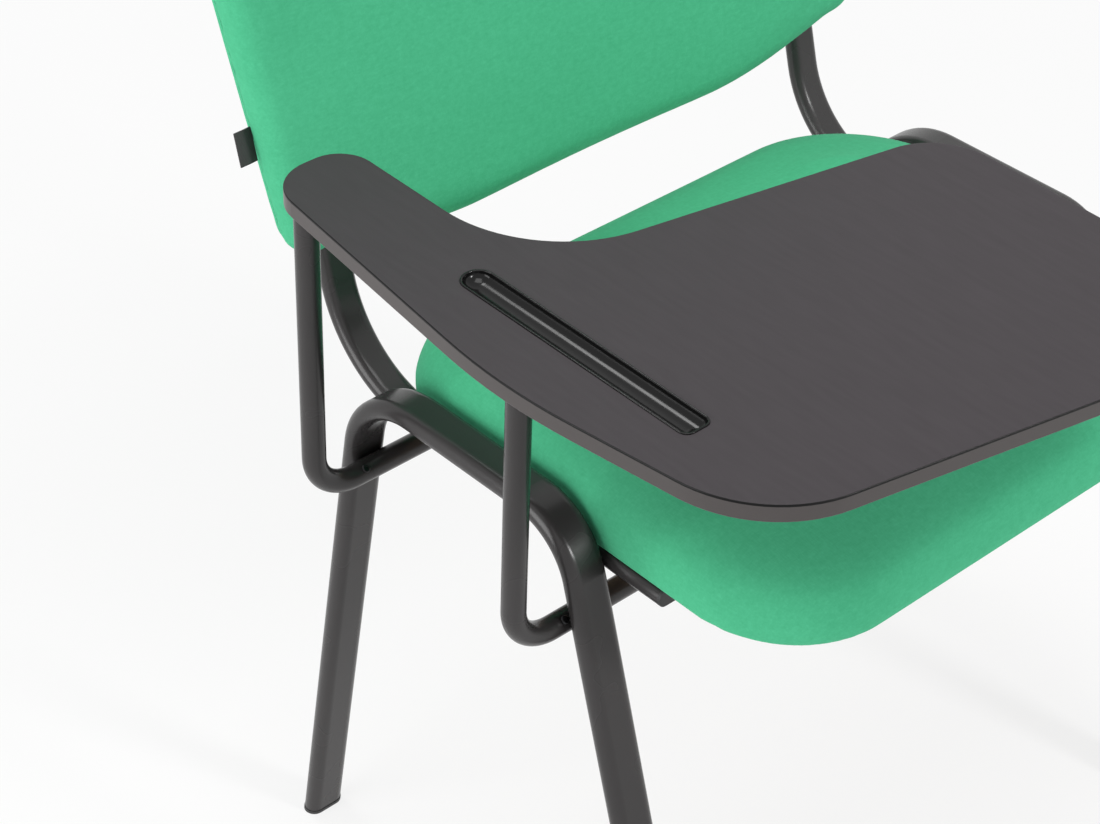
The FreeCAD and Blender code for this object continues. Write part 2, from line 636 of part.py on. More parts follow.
# Screws through the arms into the spigots
body = new_body("spigot_screws")
for row, y in ROWS:
    start = "Sizes.hole_gap * 5"
    axis_y = y + " - %s * sin(Sizes.pin_angle)"
    axis_z = CROSS_Z + " + %s * cos(Sizes.pin_angle)"
    shank = add_sketch(
        body, "pin_shank_" + row, "XY_Plane",
        (PIN_X, axis_y % ("(" + start + ")"), axis_z % ("(" + start + ")")),
        (1, 0, 0), "Sizes.pin_angle",
    )
    draw_circle(shank, ("0", "0"), "Sizes.pin_diameter")
    pad(body, shank, "Sizes.rod_diameter / 2 + Sizes.weld_gap - " + start)
    seat = "(Sizes.rod_diameter / 2 + Sizes.weld_gap)"
    head = add_sketch(
        body, "pin_head_" + row, "XY_Plane",
        (PIN_X, axis_y % seat, axis_z % seat), (1, 0, 0), "Sizes.pin_angle",
    )
    draw_circle(head, ("0", "0"), "Sizes.pin_head")
    pad(body, head, "Sizes.pin_head_height")

# Plates welded on the posts; the front one runs forward, the rear one inward
AXES = {
    "front": lambda along, across: (POST_X + " + " + across, FRONT_CROSS_Y + " - " + along),
    "rear": lambda along, across: (POST_X + " + " + along, REAR_CROSS_Y + " + " + across),
}
SCREWS = [
    AXES[row](along, "0")
    for row in ("front", "rear")
    for along in ("Sizes.screw_first", "(Sizes.screw_first + Sizes.screw_pitch)")
]
PLATE_CORNERS = (
    ("(-Sizes.plate_end)", "(-Sizes.plate_width / 2)"),
    ("(Sizes.plate_length - Sizes.plate_end)", "(-Sizes.plate_width / 2)"),
    ("(Sizes.plate_length - Sizes.plate_end)", "(Sizes.plate_width / 2)"),
    ("(-Sizes.plate_end)", "(Sizes.plate_width / 2)"),
)
for number, (row, y) in enumerate(ROWS):
    body = new_body("tablet_plate_" + row)
    outline = add_sketch(body, body.Name + "_outline", "XY_Plane", ("0", "0", PLATE_Z))
    draw_outline(outline, [AXES[row](*corner) + ("Sizes.plate_round",) for corner in PLATE_CORNERS])
    pad(body, outline, "Sizes.plate_thick")
    holes = add_sketch(body, body.Name + "_holes", "XY_Plane", ("0", "0", PLATE_Z))
    for place in SCREWS[2 * number:2 * number + 2]:
        draw_circle(holes, place, "Sizes.screw_diameter + 2 * Sizes.hole_gap")
    pocket(body, holes, "2 * Sizes.plate_thick", reverse=True)

# Screws from below through the plates into the tablet
body = new_body("tablet_screws")
heads = add_sketch(body, "tablet_screw_heads", "XY_Plane", ("0", "0", PLATE_Z))
shanks = add_sketch(body, "tablet_screw_shanks", "XY_Plane", ("0", "0", PLATE_Z))
for place in SCREWS:
    draw_circle(heads, place, "Sizes.screw_head")
    draw_circle(shanks, place, "Sizes.screw_diameter")
pad(body, heads, "Sizes.screw_head_height", reverse=True)
pad(body, shanks, "Sizes.plate_thick + Sizes.screw_depth")

# Tablet: a board that widens from the arm over the rear post towards the far end
WIDEST_X = "(" + POST_X + " - Sizes.arm_outer - Sizes.board_flare)"
ARM_IN_X = "(" + POST_X + " + Sizes.arm_inner)"
ARM_END_Y = "(" + REAR_CROSS_Y + " + Sizes.arm_rear)"
CORNER_X = "(" + WIDEST_X + " + Sizes.board_front_inset)"
END_X = "(" + POST_X + " + Sizes.board_end)"
REAR_END_Y = (
    "(-Sizes.board_throat - (" + END_X + " - " + ARM_IN_X + ") * tan(Sizes.board_rear_slope))"
)
FRONT_END_Y = (
    "(-Sizes.board_front - (" + END_X + " - " + CORNER_X + ") * tan(Sizes.board_front_slope))"
)
body = new_body("tablet_board")
outline = add_sketch(body, "board_outline", "XY_Plane", ("0", "0", BOARD_Z))
draw_outline(outline, (
    (POST_X + " - Sizes.arm_outer", ARM_END_Y, "Sizes.arm_outer_round"),
    (WIDEST_X, "-Sizes.board_widest", "Sizes.board_widest_round"),
    (CORNER_X, "-Sizes.board_front", "Sizes.board_front_round"),
    (END_X, FRONT_END_Y, "Sizes.board_end_front_round"),
    (END_X, REAR_END_Y, "Sizes.board_end_rear_round"),
    (ARM_IN_X, "-Sizes.board_throat", "Sizes.board_throat_round"),
    (ARM_IN_X, ARM_END_Y, "Sizes.arm_inner_round"),
))
pad(body, outline, "Sizes.board_thick")
round_edges(body, "Sizes.board_edge", lambda edge, middle: (
    abs(middle.z - value(BOARD_Z)) < 0.01 or abs(middle.z - value(BOARD_TOP)) < 0.01
))
holes = add_sketch(body, "board_holes", "XY_Plane", ("0", "0", BOARD_Z))
for place in SCREWS:
    draw_circle(holes, place, "Sizes.screw_diameter + 2 * Sizes.hole_gap")
pocket(body, holes, "Sizes.screw_depth + Sizes.hole_gap", reverse=True)


def tray_corners(margin):
    """Tray's outline, moved outward by a margin."""
    left = TRAY_X + " - Sizes.tray_width / 2 - " + margin
    right = TRAY_X + " + Sizes.tray_width / 2 + " + margin
    rear = "-Sizes.tray_rear + " + margin
    front = "-Sizes.tray_rear - Sizes.tray_length - " + margin
    return (
        (left, front, "Sizes.tray_front_round + " + margin),
        (right, front, "Sizes.tray_front_round + " + margin),
        (right, rear, "Sizes.tray_rear_round + " + margin),
        (left, rear, "Sizes.tray_rear_round + " + margin),
    )


TRAY_UNDER = "(" + BOARD_TOP + " + Sizes.tray_lip - Sizes.tray_depth - Sizes.tray_floor)"
slot = add_sketch(body, "board_slot", "XY_Plane", ("0", "0", BOARD_TOP))
draw_outline(slot, tray_corners("Sizes.tray_gap"))
pocket(body, slot, BOARD_TOP + " - " + TRAY_UNDER)

# Pen tray: a glossy trough let into the tablet, its rim just above the top
body = new_body("pen_tray")
outline = add_sketch(body, "tray_outline", "XY_Plane", ("0", "0", TRAY_UNDER))
draw_outline(outline, tray_corners("0"))
pad(body, outline, "Sizes.tray_floor + Sizes.tray_depth")
trough = add_sketch(body, "tray_trough", "XY_Plane", ("0", "0", BOARD_TOP + " + Sizes.tray_lip"))
draw_outline(trough, tray_corners("(-Sizes.tray_wall)"))
pocket(body, trough, "Sizes.tray_depth")
round_edges(body, "Sizes.tray_cove", lambda edge, middle: (
    abs(middle.z - value(TRAY_UNDER + " + Sizes.tray_floor")) < 0.01
))
round_edges(body, "Sizes.tray_lip * 0.9", lambda edge, middle: (
    abs(middle.z - value(BOARD_TOP + " + Sizes.tray_lip")) < 0.01
))


def seat_level(body, name, height):
    """Sketch level with the seat, at a height above the tubes that carry it."""
    rise = "(Sizes.back_tube_depth / 2 + Sizes.weld_gap + " + height + ")"
    return add_sketch(
        body, name, "XY_Plane",
        ("0", rise + " * sin(Sizes.frame_tilt)",
         TAIL_Z + " + " + rise + " * cos(Sizes.frame_tilt)"),
        (1, 0, 0), "-Sizes.frame_tilt",
    )


SEAT_HALF = "(Sizes.rail_spacing / 2 - Sizes.tube_width / 2 - Sizes.seat_side_gap)"
SEAT_REAR = "(Sizes.tail_rear + Sizes.seat_overhang)"


def seat_outline(sketch, inset, front_inset, rear_inset, softness="1"):
    """Seat's outline drawn in at the sides, the front and the rear."""
    half = "(" + SEAT_HALF + " - " + inset + ")"
    rear = "(" + SEAT_REAR + " - " + rear_inset + ")"
    front = "(-Sizes.seat_front + " + front_inset + ")"
    share = " * " + half + " / " + SEAT_HALF
    rear_round = "Sizes.seat_rear_round * " + softness + share
    front_round = "Sizes.seat_front_round" + share
    draw_outline(sketch, (
        ("-" + half, front, front_round),
        (half, front, front_round),
        (half, rear, rear_round),
        ("-" + half, rear, rear_round),
    ))


PANEL_FRONT = "(Sizes.panel_inset + Sizes.seat_waterfall)"
PANEL_REAR = "(Sizes.panel_inset + Sizes.seat_rear_tuck)"
BOLTS = [(sign + BOLT_X, y) for sign in ("-", "") for y in BOLTS_Y]

# Seat panel on the two back tubes, with counterbored holes for the tee nuts
body = new_body("seat_panel")
outline = seat_level(body, "panel_outline", "0")
seat_outline(outline, "Sizes.panel_inset", PANEL_FRONT, PANEL_REAR, "1.15")
pad(body, outline, "Sizes.panel_thick")
holes = seat_level(body, "panel_holes", "0")
flanges = seat_level(body, "panel_counterbores", "Sizes.panel_thick")
for place in BOLTS:
    draw_circle(holes, place, "Sizes.nut_barrel + 2 * Sizes.hole_gap")
    draw_circle(flanges, place, "Sizes.nut_flange + 2 * Sizes.hole_gap")
pocket(body, holes, "Sizes.panel_thick", reverse=True)
pocket(body, flanges, "Sizes.nut_flange_thick")

# Tee nuts, flush with the panel's top
body = new_body("seat_nuts")
flanges = seat_level(body, "nut_flanges", "Sizes.panel_thick")
barrels = seat_level(body, "nut_barrels", "Sizes.panel_thick")
bores = seat_level(body, "nut_bores", "Sizes.panel_thick")
for place in BOLTS:
    draw_circle(flanges, place, "Sizes.nut_flange")
    draw_circle(barrels, place, "Sizes.nut_barrel")
    draw_circle(bores, place, "Sizes.bolt_diameter + 2 * Sizes.hole_gap")
pad(body, flanges, "Sizes.nut_flange_thick", reverse=True)
pad(body, barrels, "Sizes.panel_thick - Sizes.hole_gap", reverse=True)
pocket(body, bores, "Sizes.panel_thick")

# Seat bolts from below through the back tubes
body = new_body("seat_bolts")
UNDER_TUBE = "(-Sizes.back_tube_depth - 2 * Sizes.weld_gap)"
heads = seat_level(body, "bolt_heads", UNDER_TUBE)
shanks = seat_level(body, "bolt_shanks", UNDER_TUBE)
for place in BOLTS:
    draw_circle(heads, place, "Sizes.bolt_head")
    draw_circle(shanks, place, "Sizes.bolt_diameter")
pad(body, heads, "Sizes.bolt_head_height", reverse=True)
pad(body, shanks, "Sizes.panel_thick + Sizes.back_tube_depth + Sizes.weld_gap")

# Seat cushion: drawn in at its lower edge, full at the side, crowned on top
body = new_body("seat_cushion")
LEVELS = [
    ("Sizes.soft_gap", "Sizes.seat_tuck", "Sizes.seat_waterfall", "Sizes.seat_rear_tuck", "1.15"),
    ("0.5 * Sizes.seat_side", "0", "0", "0", "1"),
    (
        "Sizes.seat_side", "0.01 * Sizes.seat_shoulder", "0.02 * Sizes.seat_shoulder",
        "0.01 * Sizes.seat_shoulder", "1.02",
    ),
]
for angle, softness in ((35, "1.1"), (65, "1.25")):
    LEVELS.append((
        "(Sizes.seat_side + Sizes.seat_shoulder * sin(%d))" % angle,
        "Sizes.seat_shoulder * (1 - cos(%d))" % angle,
        "1.2 * Sizes.seat_shoulder * (1 - cos(%d))" % angle,
        "Sizes.seat_shoulder * (1 - cos(%d))" % angle, softness,
    ))
LEVELS.append((
    "(Sizes.seat_side + Sizes.seat_shoulder + Sizes.seat_crown * 0.3)",
    "1.1 * Sizes.seat_shoulder", "1.3 * Sizes.seat_shoulder", "1.1 * Sizes.seat_shoulder", "1.3",
))
LEVELS.append((
    "(Sizes.seat_side + Sizes.seat_shoulder + Sizes.seat_crown)",
    "Sizes.seat_crown_inset", "Sizes.seat_crown_inset", "Sizes.seat_crown_inset", "1.2",
))
sections = []
for number, (height, *insets, softness) in enumerate(LEVELS):
    section = seat_level(body, "seat_section_%d" % number, height)
    seat_outline(section, *("(" + inset + ")" for inset in insets), softness)
    sections.append(section)
loft(body, sections, "seat_loft")
recess = seat_level(body, "seat_recess", "Sizes.soft_gap / 2")
seat_outline(recess, *(
    "(" + inset + " - Sizes.soft_gap)" for inset in ("Sizes.panel_inset", PANEL_FRONT, PANEL_REAR)
), "1.15")
pocket(body, recess, "Sizes.panel_thick + Sizes.soft_gap / 2", reverse=True)

# Backrest: distances run across its lean (rearward) and along it (upward)
# from the uprights' axis at the lower edge
SLOPE = "(" + TUBE_X + " / sqrt(Sizes.back_wrap^2 - " + TUBE_X + "^2))"
STAND = (
    "(Sizes.back_tube_depth / 2 * sqrt(1 + " + SLOPE + "^2)"
    " + (Sizes.back_tube_width - Sizes.back_tube_depth) / 2 * " + SLOPE + " + 2 * Sizes.weld_gap)"
)
WRAP_CENTRE = "(-" + STAND + " - sqrt(Sizes.back_wrap^2 - " + TUBE_X + "^2))"


def back_face(body, name, depth="0"):
    """Sketch in front view, leaning with the backrest."""
    base = (
        "0",
        BACK_Z + " - " + depth + " * sin(Sizes.back_lean)",
        "-" + BACK_Y + " - " + depth + " * cos(Sizes.back_lean)",
    )
    return add_sketch(body, name, "XZ_Plane", base, (1, 0, 0), "-Sizes.back_lean")


def back_plan(body, name, height):
    """Sketch seen along the backrest, at a height along its lean."""
    base = (
        "0",
        BACK_Y + " + " + height + " * sin(Sizes.back_lean)",
        BACK_Z + " + " + height + " * cos(Sizes.back_lean)",
    )
    return add_sketch(body, name, "XY_Plane", base, (1, 0, 0), "-Sizes.back_lean")


def back_outline(body, name, inset):
    """Backrest's outline in front view, drawn in by an inset."""
    outline = back_face(body, name)
    start = "(" + LOW_HALF + " - Sizes.back_smile_run)"
    low_x = "(" + LOW_HALF + " - " + inset + ")"
    low = "(Sizes.back_smile + " + inset + ")"
    high_x = "(" + HIGH_HALF + " - " + inset + ")"
    high = "(Sizes.back_length - Sizes.back_arch - " + inset + ")"
    draw_outline(outline, (
        ("-" + start, inset, "Sizes.back_smile_round"),
        (start, inset, "Sizes.back_smile_round"),
        (low_x, low, "Sizes.back_low_round - " + inset),
        (high_x, high, "Sizes.back_high_round - " + inset),
        ("0", "Sizes.back_length - " + inset, "Sizes.back_arch_round"),
        ("-" + high_x, high, "Sizes.back_high_round - " + inset),
        ("-" + low_x, low, "Sizes.back_low_round - " + inset),
    ))
    pad(body, outline, HIGH_HALF, symmetric=True)


def plan_region(body, name, height, side_w, middle_w, away):
    """Region in plan from an arc round the sitter to well in front of it or behind it."""
    half = "(1.1 * " + HIGH_HALF + ")"
    sketch = back_plan(body, name, height)
    draw_chain(
        sketch,
        (("-" + half, side_w), (half, side_w), (half, away), ("-" + half, away)),
        (("0", middle_w), None, None, None),
    )
    return sketch


def seam_w(radius, x):
    """Place across the lean of an arc round the sitter, at a distance from the middle."""
    return "(" + WRAP_CENTRE + " + sqrt((" + radius + ")^2 - (" + x + ")^2))"


FRONT_AWAY = "(-" + HIGH_HALF + ")"
REAR_AWAY = HIGH_HALF


def keep_side(body, name, radius, away):
    """Cuts away what lies on one side of an arc round the sitter."""
    half = "(1.1 * " + HIGH_HALF + ")"
    height = "(-Sizes.back_length / 2)"
    region = plan_region(body, name, height, seam_w(radius, half), seam_w(radius, "0"), away)
    pocket(body, region, "2 * Sizes.back_length", reverse=True)


def shell_solid(body, clearance):
    """Curved panel with rounded corners, grown by a clearance."""
    back_outline(body, body.Name + "_outline", "(Sizes.shell_inset - " + clearance + ")")
    front = "Sizes.back_wrap - Sizes.shell_thick - " + clearance
    keep_side(body, body.Name + "_front", front, FRONT_AWAY)
    keep_side(body, body.Name + "_back", "Sizes.back_wrap + " + clearance, REAR_AWAY)


def padded_face(body, name, way, levels, rim, away, roll):
    """Crowned outer face of a cushion, with a rounded edge all round it."""
    half = "(1.1 * " + HIGH_HALF + ")"
    seam = "Sizes.back_wrap"
    side_w = seam_w(seam, HIGH_HALF) + " + %d * " % way + rim
    sections = [
        plan_region(
            body, name + "_%d" % number, height,
            side_w + " + (" + seam_w(seam, half) + " - " + seam_w(seam, HIGH_HALF) + ")",
            seam_w(seam, "0") + " + %d * " % way + full, away,
        )
        for number, (height, full) in enumerate(levels)
    ]
    cut = body.newObject("PartDesign::SubtractiveLoft", name + "_loft")
    cut.Profile = sections[0]
    cut.Sections = sections[1:]
    lean = math.radians(value("Sizes.back_lean"))
    across = Vector(0, math.cos(lean), -math.sin(lean))
    origin = Vector(0, value(BACK_Y), value(BACK_Z))
    centre_w = value(WRAP_CENTRE)
    least = 0.8 * value(rim)
    radius = value(seam)

    def on_face(edge, middle):
        w = (middle - origin).dot(across)
        ahead = way * (w - centre_w - math.sqrt(radius ** 2 - middle.x ** 2))
        run = edge.tangentAt((edge.FirstParameter + edge.LastParameter) / 2)
        return ahead > least and abs(run.dot(across)) < 0.9

    round_edges(body, "min(" + roll + "; 0.95 * " + rim + ")", on_face)


SCREW_ROWS = ("Sizes.back_screw_low", "Sizes.back_screw_low + Sizes.back_screw_pitch")
SCREW_SPOTS = [(sign + TUBE_X, u) for sign in ("-", "") for u in SCREW_ROWS]

# Curved panel that the uprights carry
body = new_body("backrest_panel")
shell_solid(body, "0")
holes = back_face(body, "panel_screw_holes")
for place in SCREW_SPOTS:
    draw_circle(holes, place, "Sizes.screw_diameter + 2 * Sizes.hole_gap")
pocket(body, holes, HIGH_HALF, symmetric=True)

# Screws from behind through the uprights into the curved panel
body = new_body("backrest_screws")
behind = "(Sizes.back_tube_depth / 2 + Sizes.weld_gap)"
heads = back_face(body, "back_screw_heads", behind)
shanks = back_face(body, "back_screw_shanks", behind)
for place in SCREW_SPOTS:
    draw_circle(heads, place, "Sizes.screw_head")
    draw_circle(shanks, place, "Sizes.screw_diameter")
pad(body, heads, "Sizes.screw_head_height", reverse=True)
pad(body, shanks, behind + " + " + STAND + " + Sizes.shell_thick / 2")

# Room for the curved panel, cut out of the front cushion
room = doc.addObject("PartDesign::Body", "panel_room")
shell_solid(room, "Sizes.soft_gap")

# Front cushion of the backrest, wrapped round the curved panel's edge
soft = doc.addObject("PartDesign::Body", "front_foam")
back_outline(soft, "front_outline", "0")
padded_face(soft, "front_face", -1, (
    ("(-0.1 * Sizes.back_length)", "Sizes.front_low"),
    ("(0.4 * Sizes.back_length)", "Sizes.front_full"),
    ("(1.1 * Sizes.back_length)", "Sizes.front_high"),
), "Sizes.front_rim", FRONT_AWAY, "Sizes.front_roll")
keep_side(soft, "front_seam", "Sizes.back_wrap - Sizes.soft_gap / 2", REAR_AWAY)
cushion = doc.addObject("Part::Cut", "backrest_cushion")
cushion.Base = soft
cushion.Tool = room
pieces.append(cushion)

# Rear pad, with a channel for each upright
body = new_body("backrest_rear_pad")
back_outline(body, "rear_outline", "0")
padded_face(body, "rear_face", 1, (
    ("(-0.1 * Sizes.back_length)", "Sizes.rear_middle"),
    ("(0.5 * Sizes.back_length)", "Sizes.rear_middle"),
    ("(1.1 * Sizes.back_length)", "Sizes.rear_middle"),
), "Sizes.rear_rim", REAR_AWAY, "Sizes.rear_roll")
keep_side(body, "rear_seam", "Sizes.back_wrap + Sizes.soft_gap", FRONT_AWAY)
channel = back_plan(body, "upright_channels", "(-Sizes.back_length / 2)")
for sign in ("-", ""):
    side = "Sizes.back_tube_width / 2 + 2 * Sizes.soft_gap"
    outer = "(" + sign + TUBE_X + " - (" + side + "))"
    inner = "(" + sign + TUBE_X + " + (" + side + "))"
    rear = "(Sizes.back_tube_depth / 2 + Sizes.screw_head_height + 2 * Sizes.soft_gap)"
    front = "(-2 * Sizes.back_tube_width)"
    draw_polygon(channel, ((outer, front), (inner, front), (inner, rear), (outer, rear)))
pocket(
    body, channel,
    "1.5 * Sizes.back_length - Sizes.upright_cover + 2 * Sizes.soft_gap", reverse=True,
)

# Label tab that sticks out of the side seam
body = new_body("label_tab")
tab = add_sketch(
    body, "tab_outline", "XY_Plane",
    (
        "0", BACK_Y + " + Sizes.tab_rise * sin(Sizes.back_lean)",
        BACK_Z + " + Sizes.tab_rise * cos(Sizes.back_lean)",
    ),
    (1, 0, 0), "-Sizes.back_lean",
)
TAB_X = (
    "(" + LOW_HALF + " + (Sizes.back_high_side - Sizes.back_low_side)"
    " * (Sizes.tab_rise + Sizes.tab_height / 2 - Sizes.back_smile)"
    " / (Sizes.back_length - Sizes.back_arch - Sizes.back_smile))"
)
tab_end = "(-" + TAB_X + " - Sizes.soft_gap)"
tab_seam = seam_w("Sizes.back_wrap", TAB_X)
draw_polygon(tab, (
    (tab_end, tab_seam + " - Sizes.tab_thick / 2"),
    (tab_end, tab_seam + " + Sizes.tab_thick / 2"),
    (tab_end + " - Sizes.tab_reach", tab_seam + " + Sizes.tab_thick / 2"),
    (tab_end + " - Sizes.tab_reach", tab_seam + " - Sizes.tab_thick / 2"),
))
pad(body, tab, "Sizes.tab_height", symmetric=True)

doc.recompute()

failed = [o.Name for o in doc.Objects if "Invalid" in o.State or "Error" in o.State]
if failed:
    raise RuntimeError("these objects failed: " + ", ".join(failed))
for piece in pieces:
    if piece.Shape.isNull() or not piece.Shape.isValid() or not piece.Shape.Solids:
        raise RuntimeError(piece.Label + " has no valid shape")

# Origin: on the floor, under the middle of the whole chair's box
box = FreeCAD.BoundBox()
for piece in pieces:
    box.add(piece.Shape.optimalBoundingBox(False))
shift = Vector(-box.Center.x, -box.Center.y, -box.ZMin)
for piece in pieces:
    piece.Placement = Placement(shift, Rotation())
doc.recompute()

os.makedirs("parts", exist_ok=True)
for piece in pieces:
    piece.Shape.exportStep(os.path.join("parts", piece.Label + ".step"))
    solids = len(piece.Shape.Solids)
    print("%-24s %d solid(s) %10.1f mm3" % (piece.Label, solids, piece.Shape.Volume))
print("origin in the drawing's frame", -shift, "box", box)
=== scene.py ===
import math
import bmesh
import bpy
import numpy as np
from mathutils import Matrix, Vector
from mathutils.kdtree import KDTree


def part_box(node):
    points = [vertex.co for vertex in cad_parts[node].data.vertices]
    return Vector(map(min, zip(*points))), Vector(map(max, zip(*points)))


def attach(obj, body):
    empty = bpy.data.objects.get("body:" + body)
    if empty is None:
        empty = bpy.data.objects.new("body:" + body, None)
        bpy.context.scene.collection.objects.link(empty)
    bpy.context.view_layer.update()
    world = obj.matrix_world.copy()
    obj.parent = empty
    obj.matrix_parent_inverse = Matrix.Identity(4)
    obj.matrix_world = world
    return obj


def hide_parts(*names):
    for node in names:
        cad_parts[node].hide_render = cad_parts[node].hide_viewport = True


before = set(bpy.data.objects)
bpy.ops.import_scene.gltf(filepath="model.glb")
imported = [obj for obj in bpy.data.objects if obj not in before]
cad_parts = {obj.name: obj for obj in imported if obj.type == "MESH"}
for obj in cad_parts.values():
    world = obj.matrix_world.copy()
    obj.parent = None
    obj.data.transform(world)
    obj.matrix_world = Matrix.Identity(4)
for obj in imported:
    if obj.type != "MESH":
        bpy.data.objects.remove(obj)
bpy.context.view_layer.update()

# Camera: a long lens, 38 degrees above the level, from ahead of the tablet's side.
# It looks at the middle of the picture, so that no shift is needed.
CAMERA_PLACE = (-1.10736, -0.97420, 1.51525)
CAMERA_TURN = math.radians(-43.3008)
CAMERA_FALL = math.radians(37.6742)
CAMERA_ROLL = math.radians(1.9695)
FOCAL_PIXELS = 2734.25
PICTURE_WIDTH = 1100
SENSOR_WIDTH = 36

bpy.ops.object.select_all(action="DESELECT")
aim = (
    Matrix.Rotation(CAMERA_TURN, 4, "Z")
    @ Matrix.Rotation(math.pi / 2 - CAMERA_FALL, 4, "X")
    @ Matrix.Rotation(CAMERA_ROLL, 4, "Z")
)
bpy.ops.object.camera_add(location=CAMERA_PLACE, rotation=aim.to_euler())
camera = bpy.context.active_object
camera.name = "camera"
camera.data.sensor_width = SENSOR_WIDTH
camera.data.lens = FOCAL_PIXELS * SENSOR_WIDTH / PICTURE_WIDTH
bpy.context.scene.camera = camera
bpy.context.scene.view_settings.view_transform = "Standard"

# Floor and background: a pale floor that turns white with distance, under a white room.
# The camera and the reflections see white, and the room lights the chair at a lower level.
FLOOR_SIZE = 30
FLOOR_COLOUR = (0.90, 0.90, 0.90)
FLOOR_WHITE = 0.78
WHITE_FROM = 0.7
WHITE_BY = 2.6
WHITE = (1, 1, 1, 1)
SEEN_LIGHT = 1
ROOM_LIGHT = 0.30


def new_material(name, colour, roughness):
    """Material with its nodes, links and main shader."""
    material = bpy.data.materials.new(name)
    material.use_nodes = True
    nodes = material.node_tree.nodes
    shader = nodes["Principled BSDF"]
    shader.inputs["Base Color"].default_value = (*colour, 1)
    shader.inputs["Roughness"].default_value = roughness
    return material, nodes, material.node_tree.links, shader


def add_range(nodes, links, value, low, high, out_low, out_high):
    """Value moved from one range to another."""
    change = nodes.new("ShaderNodeMapRange")
    change.inputs["From Min"].default_value = low
    change.inputs["From Max"].default_value = high
    change.inputs["To Min"].default_value = out_low
    change.inputs["To Max"].default_value = out_high
    links.new(value, change.inputs["Value"])
    return change.outputs["Result"]


def add_math(nodes, links, operation, *values):
    """Result of an operation on values, each given as a number or a socket."""
    result = nodes.new("ShaderNodeMath")
    result.operation = operation
    for value, socket in zip(values, result.inputs):
        if isinstance(value, (int, float)):
            socket.default_value = value
        else:
            links.new(value, socket)
    return result.outputs[0]


def seen_rays(nodes, links):
    """1 for rays from the camera, reflections and glass, and 0 for the rest."""
    rays = nodes.new("ShaderNodeLightPath").outputs
    direct = add_math(nodes, links, "MAXIMUM", rays["Is Camera Ray"], rays["Is Glossy Ray"])
    return add_math(nodes, links, "MAXIMUM", direct, rays["Is Transmission Ray"])


bpy.ops.mesh.primitive_plane_add(size=FLOOR_SIZE, location=(0, 0, 0))
floor = bpy.context.active_object
floor.name = "floor"
paint, nodes, links, shader = new_material("pale_floor", FLOOR_COLOUR, 0.9)
shader.inputs["Specular IOR Level"].default_value = 0.1
seen_floor = nodes.new("ShaderNodeEmission")
seen_floor.inputs["Color"].default_value = WHITE
seen_floor.inputs["Strength"].default_value = SEEN_LIGHT
ground = nodes.new("ShaderNodeTexCoord")
away = nodes.new("ShaderNodeVectorMath")
away.operation = "LENGTH"
links.new(ground.outputs["Object"], away.inputs[0])
white_share = add_range(
    nodes, links, away.outputs["Value"], WHITE_FROM, WHITE_BY, FLOOR_WHITE, 1,
)
seen_share = add_math(nodes, links, "MULTIPLY", seen_rays(nodes, links), white_share)
whiten = nodes.new("ShaderNodeMixShader")
links.new(seen_share, whiten.inputs[0])
links.new(shader.outputs[0], whiten.inputs[1])
links.new(seen_floor.outputs[0], whiten.inputs[2])
links.new(whiten.outputs[0], nodes["Material Output"].inputs[0])
floor.data.materials.append(paint)

room = bpy.data.worlds.new("white_room")
bpy.context.scene.world = room
room.use_nodes = True
nodes = room.node_tree.nodes
links = room.node_tree.links
nodes.clear()
output = nodes.new("ShaderNodeOutputWorld")
choice = nodes.new("ShaderNodeMixShader")
links.new(seen_rays(nodes, links), choice.inputs[0])
for strength, socket in ((ROOM_LIGHT, choice.inputs[1]), (SEEN_LIGHT, choice.inputs[2])):
    light = nodes.new("ShaderNodeBackground")
    light.inputs["Color"].default_value = WHITE
    light.inputs["Strength"].default_value = strength
    links.new(light.outputs[0], socket)
links.new(choice.outputs[0], output.inputs["Surface"])

# Lamps: a large soft one at the tablet's side, one overhead, one behind and above that
# draws the line in the pen trough, and one ahead for the bright spots on the bends.
MIDDLE = Vector((0, 0, 0.5))


def add_lamp(name, place, size, power):
    """Square area lamp that points at the chair's middle."""
    turn = (MIDDLE - Vector(place)).to_track_quat("-Z", "Y").to_euler()
    bpy.ops.object.light_add(type="AREA", location=place, rotation=turn)
    lamp = bpy.context.active_object
    lamp.name = name
    lamp.data.shape = "SQUARE"
    lamp.data.size = size
    lamp.data.energy = power


add_lamp("side_lamp", (-2.6, 0.5, 0.9), size=1.7, power=46)
add_lamp("top_lamp", (-0.3, -0.3, 3.2), size=1.6, power=33)
add_lamp("rear_lamp", (-0.16, 1.45, 3.18), size=0.7, power=18)
add_lamp("front_lamp", (0.7, -2.6, 1.9), size=0.55, power=42)

# Frame: steel tubes bent, welded together and powder-coated in satin black.
# The coat has a very fine orange peel, and the tubes keep the shape of the CAD model.
COAT_DARK = (0.031, 0.0288, 0.0291)
COAT_LIGHT = (0.041, 0.0380, 0.0384)
TUBES = (
    "leg_frame_right", "leg_frame_left", "back_tube_right", "back_tube_left",
    "cross_tube_front", "cross_tube_rear", "tablet_post_front", "tablet_post_rear",
    "tablet_plate_front", "tablet_plate_rear",
)


def object_noise(nodes, links, scale, detail=3, stretch=(1, 1, 1)):
    """Noise in the object's own metres, stretched along its axes."""
    place = nodes.new("ShaderNodeTexCoord")
    mapping = nodes.new("ShaderNodeMapping")
    mapping.inputs["Scale"].default_value = stretch
    noise = nodes.new("ShaderNodeTexNoise")
    noise.inputs["Scale"].default_value = scale
    noise.inputs["Detail"].default_value = detail
    links.new(place.outputs["Object"], mapping.inputs["Vector"])
    links.new(mapping.outputs["Vector"], noise.inputs["Vector"])
    return noise.outputs["Fac"]


